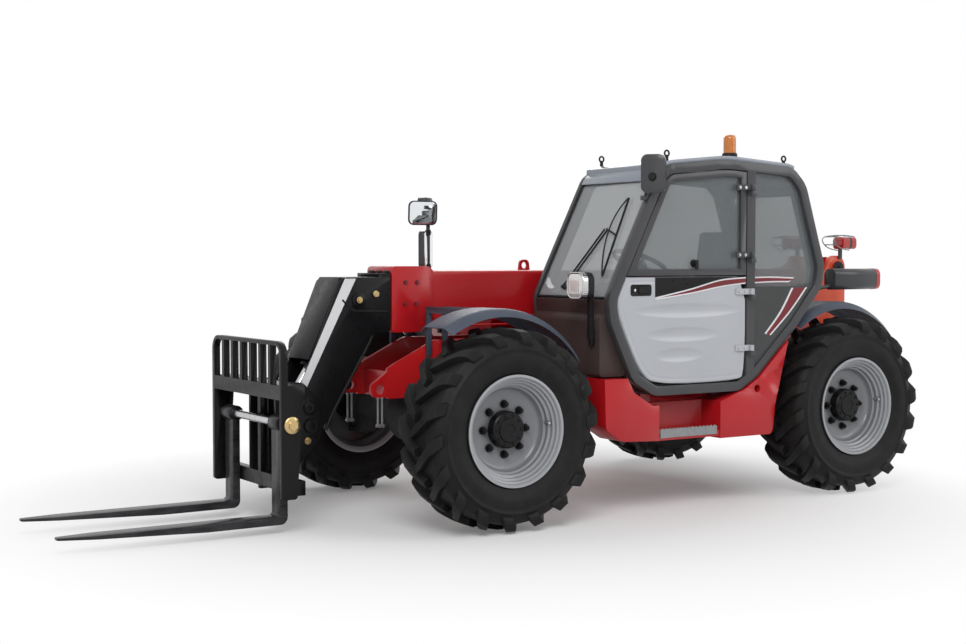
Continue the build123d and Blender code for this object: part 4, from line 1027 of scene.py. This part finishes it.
def carriage_fittings():
    shaft_x, shaft_z = FORK_SHAFT
    tip = SHAFT_HALF + 0.004
    bm = bmesh.new()
    add_rod(bm, at(shaft_x, -tip, shaft_z), at(shaft_x, tip, shaft_z), 0.0252, 40)
    piece("fork_shaft_sleeve", bm, "steel", "carriage", edge=0.001)
    bm = bmesh.new()
    for hand in (1, -1):
        out = Vector((0, hand, 0))
        nut = at(shaft_x, hand * SHAFT_HALF, shaft_z)
        add_lathe(bm, cap_profile(0.05, 0.012, 0.04, 0.018), nut, out, 40)
        add_rod(bm, nut + 0.016 * out, nut + 0.034 * out, 0.03, 6)
        add_bolt(bm, at(2.294, hand * 0.198, 0.51), out, 0.015)
        add_lathe(bm, round_section(0.02, 0.005, 8), at(2.39, hand * 0.206, 0.372), out, 24, closed=True)
        add_rod(bm, at(2.405, hand * 0.19, 0.35), at(2.405, hand * 0.222, 0.35), 0.01, 16)
    piece("carriage_pins", bm, "zinc", "carriage", edge=0.0008)
    bm = bmesh.new()
    for hand in (1, -1):
        add_lathe(bm, BOSS, at(2.29, hand * 0.212, 0.71), (0, hand, 0), 36, closed=True)
    piece("carriage_bosses", bm, "trim", "carriage")


# Cab interior
CABIN_MIDDLE = 0.629
PAD_ROUNDING = 0.035
PAD_VOXEL = 0.006
PAD_FRAMES = 20
PAD_PRESSURE = 4
WHEEL_BOSS = [(0, -0.045), (0.045, -0.045), (0.055, -0.02), (0.048, 0), (0, 0.004)]
CLUSTER = [(0, -0.05), (0, 0.02), (0.008, 0.03)]
GRIP = [(0, 0), (0.012, 0), (0.02, 0.03), (0.022, 0.07), (0.014, 0.095), (0, 0.1)]
GAITER = [(0, 0), (0.04, 0), (0.026, 0.02), (0.012, 0.036), (0, 0.036)]


def settle(obj):
    """Keeps the shape that the modifiers give and takes the modifiers off."""
    graph = bpy.context.evaluated_depsgraph_get()
    mesh = bpy.data.meshes.new_from_object(obj.evaluated_get(graph))
    obj.modifiers.clear()
    obj.data = mesh
    if not mesh.materials:
        mesh.materials.append(MATERIALS["fabric"])


def inflate(obj, cap):
    before = [vert.co.copy() for vert in obj.data.vertices]
    cloth = obj.modifiers.new("cloth", "CLOTH")
    cloth.settings.use_pressure = True
    cloth.settings.uniform_pressure_force = PAD_PRESSURE
    cloth.settings.effector_weights.gravity = 0
    for step in range(1, PAD_FRAMES + 1):
        bpy.context.scene.frame_set(step)
    settle(obj)
    bpy.context.scene.frame_set(1)
    for vert, start in zip(obj.data.vertices, before):
        move = vert.co - start
        if move.length > cap:
            vert.co = start + move * (cap / move.length)


def pad(name, low, high, lean, cap):
    """A cushion blown up a little by cloth pressure, no point further than cap."""
    size = Vector(high) - Vector(low)
    centre = (Vector(low) + Vector(high)) / 2
    place = Matrix.Translation(at(*centre)) @ Matrix.Rotation(lean, 4, "Y")
    bm = bmesh.new()
    bmesh.ops.create_cube(bm, size=1, matrix=place @ Matrix.Diagonal((*size, 1)))
    bmesh.ops.bevel(bm, geom=bm.edges[:], offset=PAD_ROUNDING, segments=4, profile=0.5, affect="EDGES")
    obj = piece(name, bm, "fabric", angle=180, replaces=["seat"])
    remesh = obj.modifiers.new("remesh", "REMESH")
    remesh.mode = "VOXEL"
    remesh.voxel_size = PAD_VOXEL
    settle(obj)
    inflate(obj, cap)
    smooth(obj.data, 180)
    rounder = obj.modifiers.new("rounder", "SUBSURF")
    rounder.levels = rounder.render_levels = 1


def seat():
    pad("seat_cushion", (-0.53, 0.412, 1.092), (-0.075, 0.846, 1.19), 0.0, 0.012)
    pad("seat_back", (-0.64, 0.412, 1.19), (-0.55, 0.846, 1.81), -0.16, 0.01)
    bm = bmesh.new()
    for i in range(5):
        inset = 0.01 * (i % 2)
        z = 0.83 + 0.046 * i
        add_block(bm, at(-0.47 + inset, 0.47 + inset, z), at(-0.15 - inset, 0.79 - inset, z + 0.04))
    add_block(bm, at(-0.5, 0.43, 1.06), at(-0.1, 0.83, 1.088))
    add_block(bm, at(-0.48, 0.46, 0.822), at(-0.14, 0.8, 0.832))
    piece("seat_base", bm, "trim", edge=0.006, replaces=["seat"])


def dashboard():
    """Shelf, instrument case, steering column and wheel."""
    centre = at(0.08, CABIN_MIDDLE, 1.59)
    axis = Vector((-0.42, 0, 0.91)).normalized()
    across = Vector(LEFT)
    along = axis.cross(across)
    bm = bmesh.new()
    add_lathe(bm, round_section(0.18, 0.015, 12), centre, axis, 72, closed=True)
    add_lathe(bm, WHEEL_BOSS, centre, axis, 40)
    for angle in (90, 210, 330):
        out = math.cos(math.radians(angle)) * across + math.sin(math.radians(angle)) * along
        add_rod(bm, centre - 0.02 * axis + 0.03 * out, centre + 0.178 * out, 0.012, 12)
    piece("steering_wheel", bm, "trim", replaces=["dashboard"])
    bm = bmesh.new()
    add_rod(bm, at(0.45, CABIN_MIDDLE, 1.2), centre - 0.04 * axis, 0.06, 32, 0.036)
    add_rod(bm, centre - 0.12 * axis - 0.08 * across, centre - 0.1 * axis - 0.2 * across, 0.008, 12, 0.012)
    screen = facing(at(0.27, CABIN_MIDDLE, 1.43), (-0.9, 0, 0.4))
    add_case(bm, screen, 0.24, 0.12, 0.05, CLUSTER)
    piece("steering_column", bm, "trim", replaces=["dashboard"])
    bm = bmesh.new()
    shelf = [(0.415, 1.125), (0.54, 1.125), (0.59, 1.25), (0.596, 1.316), (0.44, 1.318), (0.415, 1.29)]
    add_prism(bm, shelf, side_place(CAB_SIDES[0], CAB_SIDES[1]))
    piece("dash_shelf", bm, "trim", edge=0.012, replaces=["dashboard"])


def controls():
    bm = bmesh.new()
    add_block(bm, at(-0.46, 0.285, 0.822), at(-0.02, 0.375, 1.23))
    # Its finish carries the front panel's painted red reflection
    piece("side_console", bm, "panel", edge=0.02)
    bm = bmesh.new()
    grip = at(-0.09, 0.33, 1.23)
    add_rod(bm, grip, grip + Vector((0.02, 0, 0.11)), 0.008, 12)
    add_lathe(bm, GRIP, grip + Vector((0.02, 0, 0.09)), (0.15, 0, 1), 24)
    add_lathe(bm, GAITER, grip, UP, 24)
    piece("joystick", bm, "trim")


# Sill, pod and frame
TREAD_TOP = 0.512
TREAD_CUP = [(0.011, 0), (0.009, 0.005), (0.006, 0.005), (0.004, 0)]
POD_FACE = -1.05
LATCH_LIP = [(0, 0), (0, 0.006), (0.003, 0.009)]
LOOP_BAR = [(0, 0), (0, 0.024)]


def step_tread():
    bm = bmesh.new()
    add_block(bm, at(-0.215, 0.905, 0.506), at(0.255, 1.058, TREAD_TOP))
    add_block(bm, at(-0.215, 1.06, 0.48), at(0.255, 1.066, 0.534))
    for i in range(15):
        x = -0.195 + i * 0.031
        for j in range(4):
            add_lathe(bm, TREAD_CUP, at(x, 0.925 + j * 0.036, TREAD_TOP), UP, 12)
        add_block(bm, at(x - 0.008, 1.06, 0.533), at(x + 0.008, 1.066, 0.54))
    piece("step_tread", bm, "grip", edge=0.001)


def pod_fittings():
    bm = bmesh.new()
    for i in range(23):
        x = 0.145 + i * 0.019
        add_rod(bm, at(x, -1.02, 0.76), at(x, -1.02, 1.17), 0.0025, 6)
    for i in range(21):
        z = 0.765 + i * 0.02
        add_rod(bm, at(0.135, -1.0225, z), at(0.585, -1.0225, z), 0.0025, 6)
    piece("grille_mesh", bm, "trim")
    bm = bmesh.new()
    for x in (-0.45, 0.45):
        add_case(bm, facing(at(x, POD_FACE, 1.17), RIGHT), 0.05, 0.09, 0.01, LOW_CASE)
        add_case(bm, facing(at(x, POD_FACE - 0.012, 1.15), RIGHT), 0.03, 0.044, 0.01, LATCH_LIP)
    piece("hood_latches", bm, "trim")
    bm = bmesh.new()
    for x in (-0.64, -0.32, 0.0, 0.32, 0.64):
        for z in (0.76, 1.19):
            add_bolt(bm, at(x, POD_FACE, z), RIGHT, 0.008)
    piece("pod_bolts", bm, "steel")


def frame_fittings():
    bm = bmesh.new()
    for hand in (1, -1):
        cap = at(-2.15, hand * 0.245, 1.545)
        add_lathe(bm, cap_profile(0.052, 0.006, 0.044, 0.012), cap, (0, hand, 0), 40)
        add_bolt(bm, cap + Vector((0, hand * 0.012, 0)), (0, hand, 0), 0.018)
    piece("pivot_caps", bm, "iron")
    bm = bmesh.new()
    for hand in (1, -1):
        for x in (1.785, 1.815):
            add_rod(bm, at(x, hand * 0.205, 0.575), at(x, hand * 0.205, 0.755), 0.007, 14)
            add_bolt(bm, at(x, hand * 0.205, 0.751), DOWN, 0.011)
        bar = facing(at(1.8, hand * 0.205 - 0.012, 0.572), LEFT)
        add_case(bm, bar, 0.052, 0.02, 0.008, LOOP_BAR)
    piece("tie_loops", bm, "grip")
    bm = bmesh.new()
    for x in (1.405, -1.405):
        for hand in (1, -1):
            for z, up in ((0.79, 1), (0.42, -1)):
                for dx, dy in ((-0.035, -0.02), (0.035, -0.02), (-0.035, 0.03), (0.035, 0.03)):
                    add_bolt(bm, at(x + dx, hand * (0.85 + dy), z), (0, 0, up), 0.008)
        for spot in round_spots(at(x, 0.1, FRONT_HUB.z), 0.165, 10):
            add_bolt(bm, spot, LEFT, 0.009)
    piece("axle_bolts", bm, "iron")
    bm = bmesh.new()
    for y in (-0.48, -0.3, 0.3, 0.48):
        for z in (0.7, 0.95):
            add_bolt(bm, at(-2.35, y, z), BACKWARD, 0.018)
    piece("weight_bolts", bm, "iron", edge=0.001)


FITTINGS = [
    door_skin, door_panel, hinge_bolts, window_latch, quarter, shield_seals, wiper, roof_eyes, beacon,
    headlamps, mirror_glass, tail_lamps, indicators, boom_fittings, head_fittings, carriage_fittings,
    seat, dashboard, controls, step_tread, pod_fittings, frame_fittings,
]
for fitting in FITTINGS:
    fitting()


# Camera, light and floor
CAMERA_PLACE = (6.22, 8.34, 1.61)
CAMERA_YAW = -122.5
CAMERA_PITCH = -2.41
FOCAL_PIXELS = 1484
IMAGE_WIDTH = 966
SENSOR = 36
SKY_ON_OBJECT = 0.42
SKY_SEEN = 1.0
FLOOR_HALF = 60
# The white mixed into the floor near the machine, and the distances over which it rises to full white
WHITE_NEAR = 0.14
WHITE_START = 1.5
WHITE_END = 3.6
LAMP_SIZE = 5.0
# Each lamp's name, place, target and power
LAMPS = [
    ("key", (5.5, 6.5, 7.0), (0.0, 0.0, 0.8), 480),
    ("fill", (-6.0, 7.0, 5.0), (0.0, 0.0, 1.0), 170),
    ("back", (-4.0, -7.0, 6.0), (0.0, 0.0, 1.0), 170),
]


def camera():
    data = bpy.data.cameras.new("camera")
    data.sensor_width = SENSOR
    data.lens = SENSOR * FOCAL_PIXELS / IMAGE_WIDTH
    data.clip_end = 200
    obj = linked("camera", data)
    yaw, pitch = math.radians(CAMERA_YAW), math.radians(CAMERA_PITCH)
    look = Vector((math.cos(yaw) * math.cos(pitch), math.sin(yaw) * math.cos(pitch), math.sin(pitch)))
    obj.location = at(*CAMERA_PLACE)
    obj.rotation_euler = look.to_track_quat("-Z", "Y").to_euler()
    bpy.context.scene.camera = obj


def area_light(name, place, target, power):
    data = bpy.data.lights.new(name, "AREA")
    data.shape = "DISK"
    data.size = LAMP_SIZE
    data.energy = power
    obj = linked(name, data)
    obj.location = at(*place)
    obj.rotation_euler = (at(*target) - at(*place)).to_track_quat("-Z", "Y").to_euler()


def seen_directly(nodes, links):
    """1 for rays from the camera, from gloss and through glass, 0 for those that light the object."""
    path = nodes.new("ShaderNodeLightPath")
    seen = path.outputs["Is Camera Ray"]
    for kind in ("Is Transmission Ray", "Is Glossy Ray"):
        seen = combine(nodes, links, "MAXIMUM", seen, path.outputs[kind])
    return seen


def world():
    made = bpy.data.worlds.new("world")
    bpy.context.scene.world = made
    made.use_nodes = True
    nodes, links = made.node_tree.nodes, made.node_tree.links
    background = nodes["Background"]
    put(background, {"Color": (1, 1, 1, 1)})
    strength = spread(nodes, links, seen_directly(nodes, links), SKY_ON_OBJECT, SKY_SEEN, 0, 1)
    links.new(strength, background.inputs["Strength"])


def floor():
    """A pale floor that turns into the white background away from the machine and keeps its shadow."""
    bm = bmesh.new()
    bmesh.ops.create_grid(bm, x_segments=1, y_segments=1, size=FLOOR_HALF)
    mesh = bpy.data.meshes.new("floor")
    bm.to_mesh(mesh)
    bm.free()
    obj = linked("floor", mesh)
    made, nodes, links, shader = material("floor")
    mottle = blend_colour(nodes, links, noise(nodes, links, 0.5), (0.86, 0.86, 0.86), (0.9, 0.9, 0.9))
    links.new(mottle, shader.inputs["Base Color"])
    put(shader, {"Roughness": 0.7, "Specular IOR Level": 0.1})
    white = nodes.new("ShaderNodeEmission")
    coords = nodes.new("ShaderNodeTexCoord")
    length = nodes.new("ShaderNodeVectorMath")
    length.operation = "LENGTH"
    links.new(coords.outputs["Object"], length.inputs[0])
    far = spread(nodes, links, length.outputs["Value"], WHITE_NEAR, 1.0, WHITE_START, WHITE_END)
    both = combine(nodes, links, "MULTIPLY", far, seen_directly(nodes, links))
    mix = nodes.new("ShaderNodeMixShader")
    links.new(both, mix.inputs["Fac"])
    links.new(shader.outputs["BSDF"], mix.inputs[1])
    links.new(white.outputs["Emission"], mix.inputs[2])
    links.new(mix.outputs["Shader"], nodes["Material Output"].inputs["Surface"])
    mesh.materials.append(made)


camera()
world()
floor()
for lamp in LAMPS:
    area_light(*lamp)
bpy.context.scene.view_settings.view_transform = "Standard"
